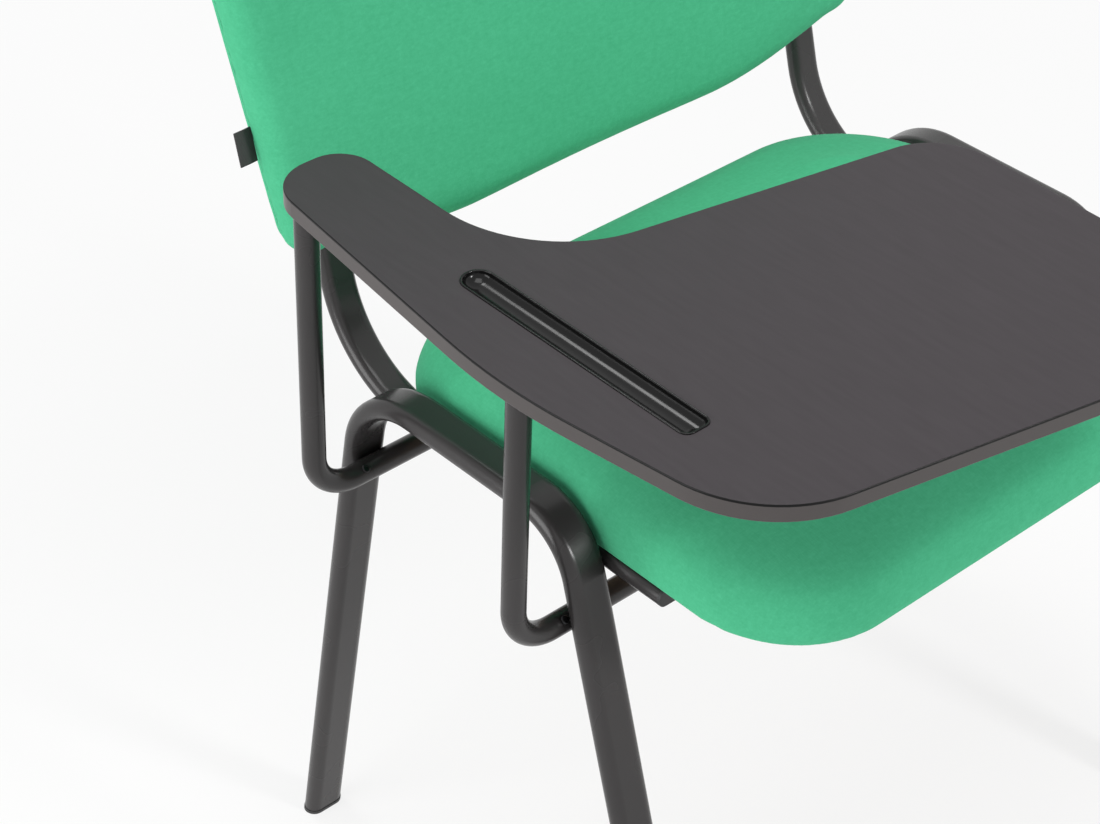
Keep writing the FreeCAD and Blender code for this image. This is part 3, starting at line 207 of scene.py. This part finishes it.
def add_bump(nodes, links, shader, height, strength, distance):
    """Relief from a height value."""
    bump = nodes.new("ShaderNodeBump")
    bump.inputs["Strength"].default_value = strength
    bump.inputs["Distance"].default_value = distance
    links.new(height, bump.inputs["Height"])
    links.new(bump.outputs["Normal"], shader.inputs["Normal"])


def mix_colours(nodes, links, factor, first, second):
    """Colour between two colours, each given as a value or a socket."""
    mix = nodes.new("ShaderNodeMix")
    mix.data_type = "RGBA"
    links.new(factor, mix.inputs["Factor"])
    for colour, end in ((first, "A"), (second, "B")):
        socket = [s for s in mix.inputs if s.name == end and s.type == "RGBA"][0]
        if isinstance(colour, tuple):
            socket.default_value = (*colour, 1)
        else:
            links.new(colour, socket)
    return [s for s in mix.outputs if s.type == "RGBA"][0]


def finish_node(node, material):
    """Gives a CAD node its material."""
    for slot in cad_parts[node].material_slots:
        slot.material = material


powder_coat, nodes, links, shader = new_material("powder_coat", COAT_DARK, 0.3)
shader.inputs["Specular IOR Level"].default_value = 0.34
grains = object_noise(nodes, links, 1600, detail=2)
clouds = object_noise(nodes, links, 18, detail=2)
links.new(mix_colours(nodes, links, clouds, COAT_DARK, COAT_LIGHT), shader.inputs["Base Color"])
links.new(add_range(nodes, links, clouds, 0.05, 0.95, 0.21, 0.31), shader.inputs["Roughness"])
add_bump(nodes, links, shader, grains, strength=0.05, distance=0.0003)
for node in TUBES:
    finish_node(node, powder_coat)

# Plugs and foot caps: black moulded plastic with a fine spark texture, pushed into the
# open ends of the tubes.
PLASTIC = (0.022, 0.022, 0.023)
PLASTIC_DARK = (0.018, 0.018, 0.019)
PLASTIC_LIGHT = (0.028, 0.028, 0.029)
PLUGS = (
    "foot_cap_front_right", "foot_cap_rear_right", "foot_cap_front_left", "foot_cap_rear_left",
    "tail_plug_right", "tail_plug_left", "cross_plug_front", "cross_plug_rear",
)
moulded, nodes, links, shader = new_material("moulded_plastic", PLASTIC, 0.55)
grains = object_noise(nodes, links, 900, detail=2)
links.new(add_range(nodes, links, grains, 0.3, 0.7, 0.48, 0.62), shader.inputs["Roughness"])
links.new(
    mix_colours(nodes, links, grains, PLASTIC_DARK, PLASTIC_LIGHT), shader.inputs["Base Color"],
)
add_bump(nodes, links, shader, grains, strength=0.3, distance=0.0003)
for node in PLUGS:
    finish_node(node, moulded)

# Tablet: a 12 mm board with a charcoal laminate on top and a lighter satin edge.
# A thin dark line runs round it where the laminate meets the edge.
BOARD_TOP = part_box("tablet_board")[1].z
LAMINATE_DARK = (0.044, 0.0385, 0.042)
LAMINATE_LIGHT = (0.057, 0.050, 0.055)
EDGE = (0.080, 0.072, 0.071)
DARK_LINE = (0.004, 0.004, 0.004)
LINE_FOOT = BOARD_TOP - 0.0016
LINE_BLEND = 0.0001
TOP_FROM = BOARD_TOP - 0.00012
TOP_BY = BOARD_TOP - 0.00004
laminate, nodes, links, shader = new_material("charcoal_laminate", LAMINATE_DARK, 0.5)
shader.inputs["Specular IOR Level"].default_value = 0.16
fibres = object_noise(nodes, links, 260, detail=5, stretch=(1, 0.12, 1))
specks = object_noise(nodes, links, 1500, detail=2)
surface = mix_colours(nodes, links, fibres, LAMINATE_DARK, LAMINATE_LIGHT)
place = nodes.new("ShaderNodeTexCoord")
split = nodes.new("ShaderNodeSeparateXYZ")
links.new(place.outputs["Object"], split.inputs["Vector"])
height = split.outputs["Z"]
in_line = add_range(nodes, links, height, LINE_FOOT, LINE_FOOT + LINE_BLEND, 0, 1)
on_top = add_range(nodes, links, height, TOP_FROM, TOP_BY, 0, 1)
rim = mix_colours(nodes, links, in_line, EDGE, DARK_LINE)
links.new(mix_colours(nodes, links, on_top, rim, surface), shader.inputs["Base Color"])
links.new(add_range(nodes, links, on_top, 0, 1, 0.33, 0.48), shader.inputs["Roughness"])
add_bump(nodes, links, shader, specks, strength=0.1, distance=0.0002)
finish_node("tablet_board", laminate)

# Pen tray: a trough of glossy black plastic let into the tablet, with a rolled lip.
# Its rings run from the underside up the outer wall, over the lip and down the trough.
# The profile gives millimetres inward from the outer wall and upward from the board's top.
TRAY_ROUND_REAR = 0.0106
TRAY_ROUND_FRONT = 0.0065
LEAST_ROUND = 0.0003
CORNER_STEPS = 12
TRAY_HALF = 11.0
TROUGH_HALF = 9.4
TROUGH_DEPTH = 5.9
TROUGH_ANGLES = (3, 12, 21, 30, 39, 48, 57, 66, 74, 81, 87.4)
TRAY_LIP = [
    (0.0, -7.7), (0.0, -1.0), (0.0, 0.30), (0.12, 0.60), (0.40, 0.78), (0.80, 0.80),
    (1.15, 0.70), (1.40, 0.45), (1.55, 0.10),
]
TRAY_PROFILE = TRAY_LIP + [
    (
        TRAY_HALF - TROUGH_HALF * math.cos(math.radians(angle)),
        -TROUGH_DEPTH * math.sin(math.radians(angle)),
    )
    for angle in TROUGH_ANGLES
]


def tray_ring(mesh, low, high, inset, height):
    """Ring of vertices round the tray, drawn in by an inset."""
    ring = []
    corners = (
        (high.x, high.y, TRAY_ROUND_REAR, 0), (low.x, high.y, TRAY_ROUND_REAR, 90),
        (low.x, low.y, TRAY_ROUND_FRONT, 180), (high.x, low.y, TRAY_ROUND_FRONT, 270),
    )
    for x, y, radius, start in corners:
        inward_x = -1 if start in (0, 270) else 1
        inward_y = -1 if start in (0, 90) else 1
        bend = max(radius - inset, LEAST_ROUND)
        centre_x = x + inward_x * (inset + bend)
        centre_y = y + inward_y * (inset + bend)
        for step in range(CORNER_STEPS + 1):
            angle = math.radians(start + 90 * step / CORNER_STEPS)
            ring.append(mesh.verts.new((
                centre_x + bend * math.cos(angle), centre_y + bend * math.sin(angle), height,
            )))
    return ring


def link_mesh(shape, name):
    """Object at the origin made from a bmesh, which is freed."""
    data = bpy.data.meshes.new(name)
    shape.to_mesh(data)
    shape.free()
    piece = bpy.data.objects.new(name, data)
    bpy.context.collection.objects.link(piece)
    return piece


low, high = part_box("pen_tray")
tray_mesh = bmesh.new()
rings = [
    tray_ring(tray_mesh, low, high, inset / 1000, BOARD_TOP + height / 1000)
    for inset, height in TRAY_PROFILE
]
tray_mesh.faces.new(rings[0])
tray_mesh.faces.new(rings[-1])
for under, over in zip(rings, rings[1:]):
    for i in range(len(under)):
        j = (i + 1) % len(under)
        tray_mesh.faces.new((under[i], under[j], over[j], over[i]))
bmesh.ops.recalc_face_normals(tray_mesh, faces=tray_mesh.faces)
tray = link_mesh(tray_mesh, "pen_trough")
for face in tray.data.polygons:
    face.use_smooth = True
gloss_black, nodes, links, shader = new_material("gloss_black", (0.005, 0.005, 0.005), 0.09)
shader.inputs["Specular IOR Level"].default_value = 0.22
scratches = object_noise(nodes, links, 240, stretch=(6, 0.3, 6))
links.new(add_range(nodes, links, scratches, 0.4, 0.75, 0.14, 0.20), shader.inputs["Roughness"])
tray.data.materials.append(gloss_black)
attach(tray, "root")
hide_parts("pen_tray")

# Screws and bolts: plated steel with domed heads and hexagon sockets. Two hold the
# posts on the cross tubes, four the tablet, four the seat and four the backrest.
# Their places are where the CAD heads lie on the tubes and plates.
HEAD_GAP = 0.0001
DOME_SHARE = 0.55
SOCKET_SHARE = 0.52
SOCKET_RISE = 0.75
FACING = 0.9
CROSS_Z = 0.3766
ROD_RADIUS = 0.008
PIN_X = -0.23534
PIN_ROWS = (-0.06306, 0.13134)
PIN_TILT = math.radians(41)
TABLET_SCREWS = (
    (-0.27334, -0.07906, 0.601), (-0.27334, -0.09906, 0.601),
    (-0.25734, 0.13134, 0.601), (-0.23734, 0.13134, 0.601),
)
SEAT_TILT = math.radians(1.13)
SEAT_BOLT_SIDES = (-0.18924, 0.24756)
SEAT_BOLT_ROWS = ((-0.08050, 0.40730), (0.06047, 0.40452))
BACK_LEAN = math.radians(16)
BACK_SCREW_SIDES = (-0.19324, 0.25156)
BACK_SCREW_ROWS = ((0.23480, 0.55250), (0.27615, 0.69669))
pin_way = Vector((0, -math.sin(PIN_TILT), math.cos(PIN_TILT)))
seat_way = Vector((0, -math.sin(SEAT_TILT), -math.cos(SEAT_TILT)))
back_way = Vector((0, math.cos(BACK_LEAN), -math.sin(BACK_LEAN)))


def add_plating(name, colour, roughness, patch_scale, smooth, rough, dark, light):
    """Metal plating with faint patches of gloss and tone."""
    plating, nodes, links, shader = new_material(name, colour, roughness)
    shader.inputs["Metallic"].default_value = 1
    patches = object_noise(nodes, links, patch_scale)
    links.new(add_range(nodes, links, patches, 0.3, 0.7, smooth, rough), shader.inputs["Roughness"])
    links.new(mix_colours(nodes, links, patches, dark, light), shader.inputs["Base Color"])
    return plating


def pick(*pieces):
    """Selects some pieces alone and makes the first one active."""
    bpy.ops.object.select_all(action="DESELECT")
    for piece in pieces:
        piece.select_set(True)
    bpy.context.view_layer.objects.active = pieces[0]


def select_end(screw, side):
    """Selects the end faces of a screw in edit mode: side 1 is the head, -1 the tip."""
    mesh = bmesh.from_edit_mesh(screw.data)
    for face in mesh.faces:
        face.select = side * face.normal.z > FACING
    bmesh.update_edit_mesh(screw.data)


def add_screws(name, node, places, way, head, rise, shank, length, plating):
    """Screws with domed heads and hexagon sockets at several places, heads towards way."""
    turn = Vector((0, 0, 1)).rotation_difference(way).to_euler()
    copies = []
    for place in places:
        bpy.ops.object.select_all(action="DESELECT")
        bpy.ops.mesh.primitive_cylinder_add(vertices=32, radius=head, depth=rise)
        screw = bpy.context.active_object
        bpy.ops.object.mode_set(mode="EDIT")
        bpy.ops.mesh.select_all(action="DESELECT")
        select_end(screw, 1)
        bpy.ops.mesh.bevel(offset=DOME_SHARE * rise, segments=4, affect="EDGES")
        select_end(screw, -1)
        bpy.ops.mesh.inset(thickness=head - shank, depth=0)
        bpy.ops.mesh.extrude_region_move(TRANSFORM_OT_translate={"value": (0, 0, -length)})
        bpy.ops.object.mode_set(mode="OBJECT")
        bpy.ops.mesh.primitive_cylinder_add(
            vertices=6, radius=SOCKET_SHARE * head, depth=rise, location=(0, 0, SOCKET_RISE * rise),
        )
        socket = bpy.context.active_object
        cut = screw.modifiers.new("socket", "BOOLEAN")
        cut.operation = "DIFFERENCE"
        cut.object = socket
        pick(screw)
        bpy.ops.object.modifier_apply(modifier="socket")
        bpy.data.objects.remove(socket)
        screw.data.transform(
            Matrix.Translation(Vector(place)) @ turn.to_matrix().to_4x4()
            @ Matrix.Translation((0, 0, rise / 2))
        )
        copies.append(screw)
    pick(*copies)
    bpy.ops.object.join()
    group = bpy.context.active_object
    group.name = name
    group.data.materials.clear()
    group.data.materials.append(plating)
    bpy.ops.object.shade_smooth_by_angle(angle=math.radians(35))
    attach(group, "root")
    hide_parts(node)


zinc = add_plating(
    "zinc_plate", (0.42, 0.42, 0.43), 0.3, patch_scale=500, smooth=0.24, rough=0.42,
    dark=(0.36, 0.36, 0.37), light=(0.50, 0.50, 0.51),
)
black_zinc = add_plating(
    "black_zinc", (0.030, 0.030, 0.031), 0.35, patch_scale=700, smooth=0.28, rough=0.45,
    dark=(0.022, 0.022, 0.023), light=(0.045, 0.045, 0.047),
)
add_screws(
    "post_fixing_screws", "spigot_screws",
    [Vector((PIN_X, y, CROSS_Z)) + pin_way * (ROD_RADIUS + HEAD_GAP) for y in PIN_ROWS],
    pin_way, head=0.0028, rise=0.0016, shank=0.00195, length=0.0065, plating=black_zinc,
)
add_screws(
    "tablet_fixing_screws", "tablet_screws", TABLET_SCREWS,
    Vector((0, 0, -1)), head=0.00425, rise=0.003, shank=0.0023, length=0.0105, plating=zinc,
)
add_screws(
    "seat_fixing_bolts", "seat_bolts",
    [(x, y, z) for x in SEAT_BOLT_SIDES for y, z in SEAT_BOLT_ROWS],
    seat_way, head=0.006, rise=0.0035, shank=0.0029, length=0.021, plating=zinc,
)
add_screws(
    "back_fixing_screws", "backrest_screws",
    [
        Vector((x, y, z)) + back_way * HEAD_GAP
        for x in BACK_SCREW_SIDES
        for y, z in BACK_SCREW_ROWS
    ],
    back_way, head=0.00425, rise=0.003, shank=0.0023, length=0.014, plating=zinc,
)
finish_node("seat_nuts", zinc)
finish_node("post_spigots", zinc)

# Seat panel and the curved backrest panel: raw beech plywood, cut to shape and drilled.
# The grain runs along X, and only the seat panel's underside shows.
PLY_LIGHT = (0.43, 0.30, 0.17)
PLY_DARK = (0.31, 0.20, 0.105)
plywood, nodes, links, shader = new_material("beech_plywood", PLY_LIGHT, 0.62)
grain = object_noise(nodes, links, 130, detail=6, stretch=(0.08, 1, 1))
flecks = object_noise(nodes, links, 900, detail=2, stretch=(0.25, 1, 1))
fleck_share = add_range(nodes, links, flecks, 0.62, 0.7, 0, 0.5)
wood = mix_colours(nodes, links, grain, PLY_DARK, PLY_LIGHT)
links.new(mix_colours(nodes, links, fleck_share, wood, PLY_DARK), shader.inputs["Base Color"])
add_bump(nodes, links, shader, grain, strength=0.2, distance=0.0004)
for node in ("seat_panel", "backrest_panel"):
    finish_node(node, plywood)

# Seat cushion: foam on the plywood panel under tight green wool, wrapped round the
# panel's edge. Its dome is filled out by a short cloth simulation under pressure.
WOOL_DARK = (0.058, 0.400, 0.205)
WOOL_LIGHT = (0.092, 0.520, 0.282)
WOOL_SHEEN = (0.45, 0.95, 0.70, 1)
THREAD_TONE = 1.1
FELT_RELIEF = 0.5
FINE = 0.003
FINE_ROUNDS = 5
COARSE = 0.006
COARSE_ROUNDS = 4
WELD = 0.00002
PRESSURE = 1.2
SWELL_FRAMES = 20
EVENING_ROUNDS = 24
NEIGHBOURS = 6
NEAR = 0.001
TINY = 1e-9
SEAT_HELD_HEIGHT = 0.026
SEAT_FREE_HEIGHT = 0.058
SEAT_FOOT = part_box("seat_cushion")[0].z
SEAT_REACH = 0.004

wool, nodes, links, shader = new_material("green_wool", WOOL_LIGHT, 0.95)
shader.inputs["Specular IOR Level"].default_value = 0.1
shader.inputs["Sheen Weight"].default_value = 0.16
shader.inputs["Sheen Roughness"].default_value = 0.4
shader.inputs["Sheen Tint"].default_value = WOOL_SHEEN
warp = object_noise(nodes, links, 900, detail=2, stretch=(1, 0.2, 1))
weft = object_noise(nodes, links, 900, detail=2, stretch=(0.2, 1, 0.6))
felt = object_noise(nodes, links, 230, detail=5)
drift = object_noise(nodes, links, 14, detail=2)
threads = add_math(nodes, links, "MULTIPLY", warp, weft)
felt_tone = add_range(nodes, links, felt, 0.3, 0.7, 0.06, 0.34)
drift_tone = add_range(nodes, links, drift, 0.3, 0.7, -0.05, 0.05)
tone = add_math(nodes, links, "MULTIPLY_ADD", threads, THREAD_TONE, felt_tone)
shade = add_math(nodes, links, "ADD", tone, drift_tone)
links.new(mix_colours(nodes, links, shade, WOOL_DARK, WOOL_LIGHT), shader.inputs["Base Color"])
relief = add_math(nodes, links, "MULTIPLY_ADD", felt, FELT_RELIEF, threads)
add_bump(nodes, links, shader, relief, strength=0.3, distance=0.0005)


def soft_copy(nodes, name, voxel, rounds):
    """Fresh even mesh in the shape of some CAD solids taken together."""
    shape = bmesh.new()
    for node in nodes:
        shape.from_mesh(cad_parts[node].data)
    bmesh.ops.remove_doubles(shape, verts=shape.verts, dist=WELD)
    piece = link_mesh(shape, name)
    pick(piece)
    bpy.ops.object.modifier_add(type="REMESH")
    piece.modifiers["Remesh"].mode = "VOXEL"
    piece.modifiers["Remesh"].voxel_size = voxel
    bpy.ops.object.modifier_apply(modifier="Remesh")
    bpy.ops.object.modifier_add(type="SMOOTH")
    piece.modifiers["Smooth"].factor = 0.5
    piece.modifiers["Smooth"].iterations = rounds
    bpy.ops.object.modifier_apply(modifier="Smooth")
    return piece


def read_points(piece, kind="co"):
    """Vertex places or normals of a mesh as an array."""
    points = np.empty(len(piece.data.vertices) * 3)
    piece.data.vertices.foreach_get(kind, points)
    return points.reshape(-1, 3)


def write_points(piece, points):
    """Puts the vertices of a mesh at the places of an array."""
    piece.data.vertices.foreach_set("co", points.ravel())
    piece.data.update()


def swell(piece, free):
    """How far each point of a mesh moves as cloth under pressure, held where free is 0
    or less."""
    before = read_points(piece)
    group = piece.vertex_groups.new(name="held")
    for index in range(len(before)):
        group.add([index], 1.0 if free[index] <= 0 else 0.0, "REPLACE")
    bpy.ops.object.modifier_add(type="CLOTH")
    cloth = piece.modifiers["Cloth"]
    cloth.settings.quality = 5
    cloth.settings.mass = 0.3
    cloth.settings.tension_stiffness = 25
    cloth.settings.compression_stiffness = 25
    cloth.settings.shear_stiffness = 10
    cloth.settings.bending_stiffness = 2
    cloth.settings.use_pressure = True
    cloth.settings.uniform_pressure_force = PRESSURE
    cloth.settings.effector_weights.gravity = 0
    cloth.settings.vertex_group_mass = "held"
    cloth.collision_settings.use_collision = False
    cloth.point_cache.frame_start = 1
    cloth.point_cache.frame_end = SWELL_FRAMES
    for moment in range(1, SWELL_FRAMES + 1):
        bpy.context.scene.frame_set(moment)
    bpy.ops.object.modifier_apply(modifier="Cloth")
    moved = read_points(piece) - before
    bpy.context.scene.frame_set(1)
    return moved


def even_out(piece, moved):
    """Moves of a mesh's points averaged over their neighbours, so that no crease is left."""
    edges = np.empty(len(piece.data.edges) * 2, dtype=int)
    piece.data.edges.foreach_get("vertices", edges)
    first, second = edges.reshape(-1, 2).T
    ends = np.concatenate((first, second))
    others = np.concatenate((second, first))
    count = np.maximum(np.bincount(ends, minlength=len(moved)), 1)
    for _ in range(EVENING_ROUNDS):
        moved = np.column_stack([
            np.bincount(ends, moved[others, axis], len(moved)) / count for axis in range(3)
        ])
    return moved


def fill_out(piece, nodes, find_free, reach):
    """Swells a cushion where find_free gives more than 0, by reach at most: a coarser
    copy swells as cloth, and the fine mesh follows it."""
    coarse = soft_copy(nodes, "swelling_copy", COARSE, COARSE_ROUNDS)
    before = read_points(coarse)
    moved = even_out(coarse, swell(coarse, find_free(before)))
    bpy.data.objects.remove(coarse)
    tree = KDTree(len(before))
    for index, point in enumerate(before):
        tree.insert(point, index)
    tree.balance()
    points = read_points(piece)
    free = np.clip(find_free(points), 0, 1)
    free = free * free * (3 - 2 * free)
    for index in np.nonzero(free > 0)[0]:
        near = tree.find_n(points[index], NEIGHBOURS)
        weights = np.array([1 / (distance + NEAR) ** 2 for _, _, distance in near])
        shift = weights @ moved[[which for _, which, _ in near]] / weights.sum()
        share = min(1, reach / max(np.linalg.norm(shift), TINY)) * free[index]
        points[index] += shift * share
    write_points(piece, points)


def finish_cushion(piece, nodes):
    """Smooth surface, wool, and the cushion's entries."""
    pick(piece)
    bpy.ops.object.shade_smooth_by_angle(angle=math.radians(50))
    piece.data.materials.clear()
    piece.data.materials.append(wool)
    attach(piece, "root")
    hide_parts(*nodes)


def seat_free(points):
    """How far points of the seat are free to swell: the lower edge is stapled."""
    above = points[:, 2] - SEAT_FOOT
    return (above - SEAT_HELD_HEIGHT) / (SEAT_FREE_HEIGHT - SEAT_HELD_HEIGHT)


seat = soft_copy(["seat_cushion"], "seat_upholstery", FINE, FINE_ROUNDS)
fill_out(seat, ["seat_cushion"], seat_free, SEAT_REACH)
finish_cushion(seat, ["seat_cushion"])

# Backrest cushions: the front one is foam under wool on the curved panel and wraps its
# edge, the rear one covers the uprights. They meet in a sewn seam on the rear corner.
# Both are made as one envelope, shaped as if the backrest were flat, and cut at the seam.
BACK_NODES = ["backrest_cushion", "backrest_rear_pad", "backrest_panel"]
BACK_LOW = np.array((0.02916, 0.20917, 0.487))
BACK_WAY = np.array(back_way)
BACK_UP = np.array((0, math.sin(BACK_LEAN), math.cos(BACK_LEAN)))
WRAP_RADIUS = 1.4
WRAP_CENTRE = -1.38997
BACK_REACH = 0.003
FRONT_HELD = 0.010
FRONT_EASE = 0.022
REAR_HELD = 0.017
REAR_EASE = 0.006
UPRIGHT_SIDE = 0.2224
UPRIGHT_HELD = 0.020
UPRIGHT_EASE = 0.010
SEAM = 0.0105
SEAM_HALF = 0.0045
SEAM_DEPTH = 0.0012
CUT_GAP = 0.0002
LOW_ROUND = 0.032
LOW_BAND = 0.004
LOW_PUSH_RIGHT = 0.0085
LOW_PUSH_LEFT = 0.0025
SIDE_RUN = 0.090
SIDE_FALL = 0.011
SIDE_LEVELS = 40
SIDE_BAND = 0.006
CROWN_DEPTH = 0.036


def unwrap(points):
    """Places across, behind and along the backrest as if it were flat."""
    offset = points - BACK_LOW
    behind = offset @ BACK_WAY - WRAP_CENTRE - np.sqrt(WRAP_RADIUS ** 2 - offset[:, 0] ** 2)
    return np.column_stack((offset[:, 0], behind, offset @ BACK_UP))


def wrap(flat):
    """Places on the curved backrest from places on a flat one."""
    behind = flat[:, 1] + WRAP_CENTRE + np.sqrt(WRAP_RADIUS ** 2 - flat[:, 0] ** 2)
    points = BACK_LOW + behind[:, None] * BACK_WAY + flat[:, 2][:, None] * BACK_UP
    points[:, 0] = BACK_LOW[0] + flat[:, 0]
    return points


def back_free(points):
    """How far points of the backrest are free to swell: the sides and the strips on the
    uprights are held."""
    flat = unwrap(points)
    ahead = (-flat[:, 1] - FRONT_HELD) / FRONT_EASE
    behind = (flat[:, 1] - REAR_HELD) / REAR_EASE
    for upright in (-UPRIGHT_SIDE, UPRIGHT_SIDE):
        clear = (np.abs(flat[:, 0] - upright) - UPRIGHT_HELD) / UPRIGHT_EASE
        behind = np.minimum(behind, clear)
    return np.maximum(ahead, behind)


def fill_corners(flat):
    """Pushes the two lower corners out, where the foam is tighter than the panel's round."""
    side = np.abs(flat[:, 0])
    half = side[np.abs(flat[:, 2] - LOW_ROUND) < LOW_BAND].max()
    foot = flat[np.abs(side - (half - LOW_ROUND)) < LOW_BAND, 2].min()
    out = side - (half - LOW_ROUND)
    down = foot + LOW_ROUND - flat[:, 2]
    far = np.hypot(out, down)
    in_corner = (out > 0) & (down > 0)
    turn = np.where(in_corner, 2 * out * down / np.maximum(far, TINY) ** 2, 0)
    most = np.where(flat[:, 0] < 0, LOW_PUSH_RIGHT, LOW_PUSH_LEFT)
    push = most * turn ** 2 * np.clip(far / LOW_ROUND, 0, 1) ** 2
    flat[:, 0] += np.sign(flat[:, 0]) * push * out / np.maximum(far, TINY)
    flat[:, 2] -= push * down / np.maximum(far, TINY)
    return flat


def crown_sides(flat):
    """Lets the front fall back gently towards the two sides, as filled foam does."""
    side = np.abs(flat[:, 0])
    levels = np.linspace(flat[:, 2].min(), flat[:, 2].max(), SIDE_LEVELS)
    widths = [side[np.abs(flat[:, 2] - level) < SIDE_BAND].max() for level in levels]
    inward = np.interp(flat[:, 2], levels, widths) - side
    fall = SIDE_FALL * np.clip(1 - inward / SIDE_RUN, 0, 1) ** 2
    ahead = np.clip(-flat[:, 1] / CROWN_DEPTH, 0, 1)
    flat[:, 1] += fall * ahead
    return flat


whole = soft_copy(BACK_NODES, "backrest_front", FINE, FINE_ROUNDS)
fill_out(whole, BACK_NODES, back_free, BACK_REACH)
points = read_points(whole)
normals = read_points(whole, "normal")
tuck = np.clip(1 - np.abs(unwrap(points)[:, 1] - SEAM) / SEAM_HALF, 0, 1) ** 2
outward = normals - (normals @ BACK_WAY)[:, None] * BACK_WAY
points = points - SEAM_DEPTH * tuck[:, None] * outward
write_points(whole, fill_corners(crown_sides(unwrap(points))))
other = bpy.data.objects.new("backrest_rear", whole.data.copy())
bpy.context.collection.objects.link(other)
for piece, node, side in ((whole, "backrest_cushion", -1), (other, "backrest_rear_pad", 1)):
    pick(piece)
    bpy.ops.object.mode_set(mode="EDIT")
    bpy.ops.mesh.select_all(action="SELECT")
    bpy.ops.mesh.bisect(
        plane_co=(0, SEAM + side * CUT_GAP, 0), plane_no=(0, 1, 0),
        use_fill=True, clear_outer=side < 0, clear_inner=side > 0,
    )
    bpy.ops.mesh.select_all(action="SELECT")
    bpy.ops.mesh.remove_doubles(threshold=0.0002)
    bpy.ops.object.mode_set(mode="OBJECT")
    write_points(piece, wrap(read_points(piece)))
    finish_cushion(piece, [node])

# Label tab: a strip of black woven tape, folded once and sewn into the side seam.
# It carries no marking. Its line gives places across the backrest and behind the seam.
TAB_LOW = 0.0880
TAB_HIGH = 0.1110
TAB_LINE = ((-0.2665, 0), (-0.272, 0.0003), (-0.276, 0.0009))
TAB_END = -0.2802
TAB_END_BEHIND = 0.0016
TAB_ROWS = 9
FOLD = 0.00045
FOLD_STEPS = 6
TAPE_THICK = 0.0004
TAPE_DARK = (0.016, 0.015, 0.016)
TAPE_LIGHT = (0.046, 0.043, 0.044)
tape_path = [(x, SEAM + behind + FOLD) for x, behind in TAB_LINE]
for step in range(FOLD_STEPS + 1):
    angle = math.radians(90 - 180 * step / FOLD_STEPS)
    tape_path.append((
        TAB_END + FOLD - FOLD * math.cos(angle), SEAM + TAB_END_BEHIND + FOLD * math.sin(angle),
    ))
tape_path += [(x, SEAM + behind - FOLD) for x, behind in reversed(TAB_LINE)]
tape_mesh = bmesh.new()
strips = []
for row in range(TAB_ROWS + 1):
    height = TAB_LOW + (TAB_HIGH - TAB_LOW) * row / TAB_ROWS
    flat = np.array([(x, y, height) for x, y in tape_path])
    strips.append([tape_mesh.verts.new(point) for point in wrap(flat)])
for under, over in zip(strips, strips[1:]):
    for i in range(len(under) - 1):
        tape_mesh.faces.new((under[i], under[i + 1], over[i + 1], over[i]))
label = link_mesh(tape_mesh, "label_tape")
pick(label)
bpy.ops.object.modifier_add(type="SOLIDIFY")
label.modifiers["Solidify"].thickness = TAPE_THICK
label.modifiers["Solidify"].offset = 0
bpy.ops.object.modifier_apply(modifier="Solidify")
bpy.ops.object.mode_set(mode="EDIT")
bpy.ops.mesh.select_all(action="SELECT")
bpy.ops.mesh.normals_make_consistent(inside=False)
bpy.ops.object.mode_set(mode="OBJECT")
bpy.ops.object.shade_smooth_by_angle(angle=math.radians(40))
tape, nodes, links, shader = new_material("black_tape", (0.030, 0.029, 0.030), 0.7)
ribs = nodes.new("ShaderNodeTexWave")
ribs.bands_direction = "Z"
ribs.inputs["Scale"].default_value = 420
place = nodes.new("ShaderNodeTexCoord")
links.new(place.outputs["Object"], ribs.inputs["Vector"])
links.new(
    mix_colours(nodes, links, ribs.outputs["Fac"], TAPE_DARK, TAPE_LIGHT),
    shader.inputs["Base Color"],
)
add_bump(nodes, links, shader, ribs.outputs["Fac"], strength=0.4, distance=0.0002)
label.data.materials.append(tape)
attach(label, "root")
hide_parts("label_tab")
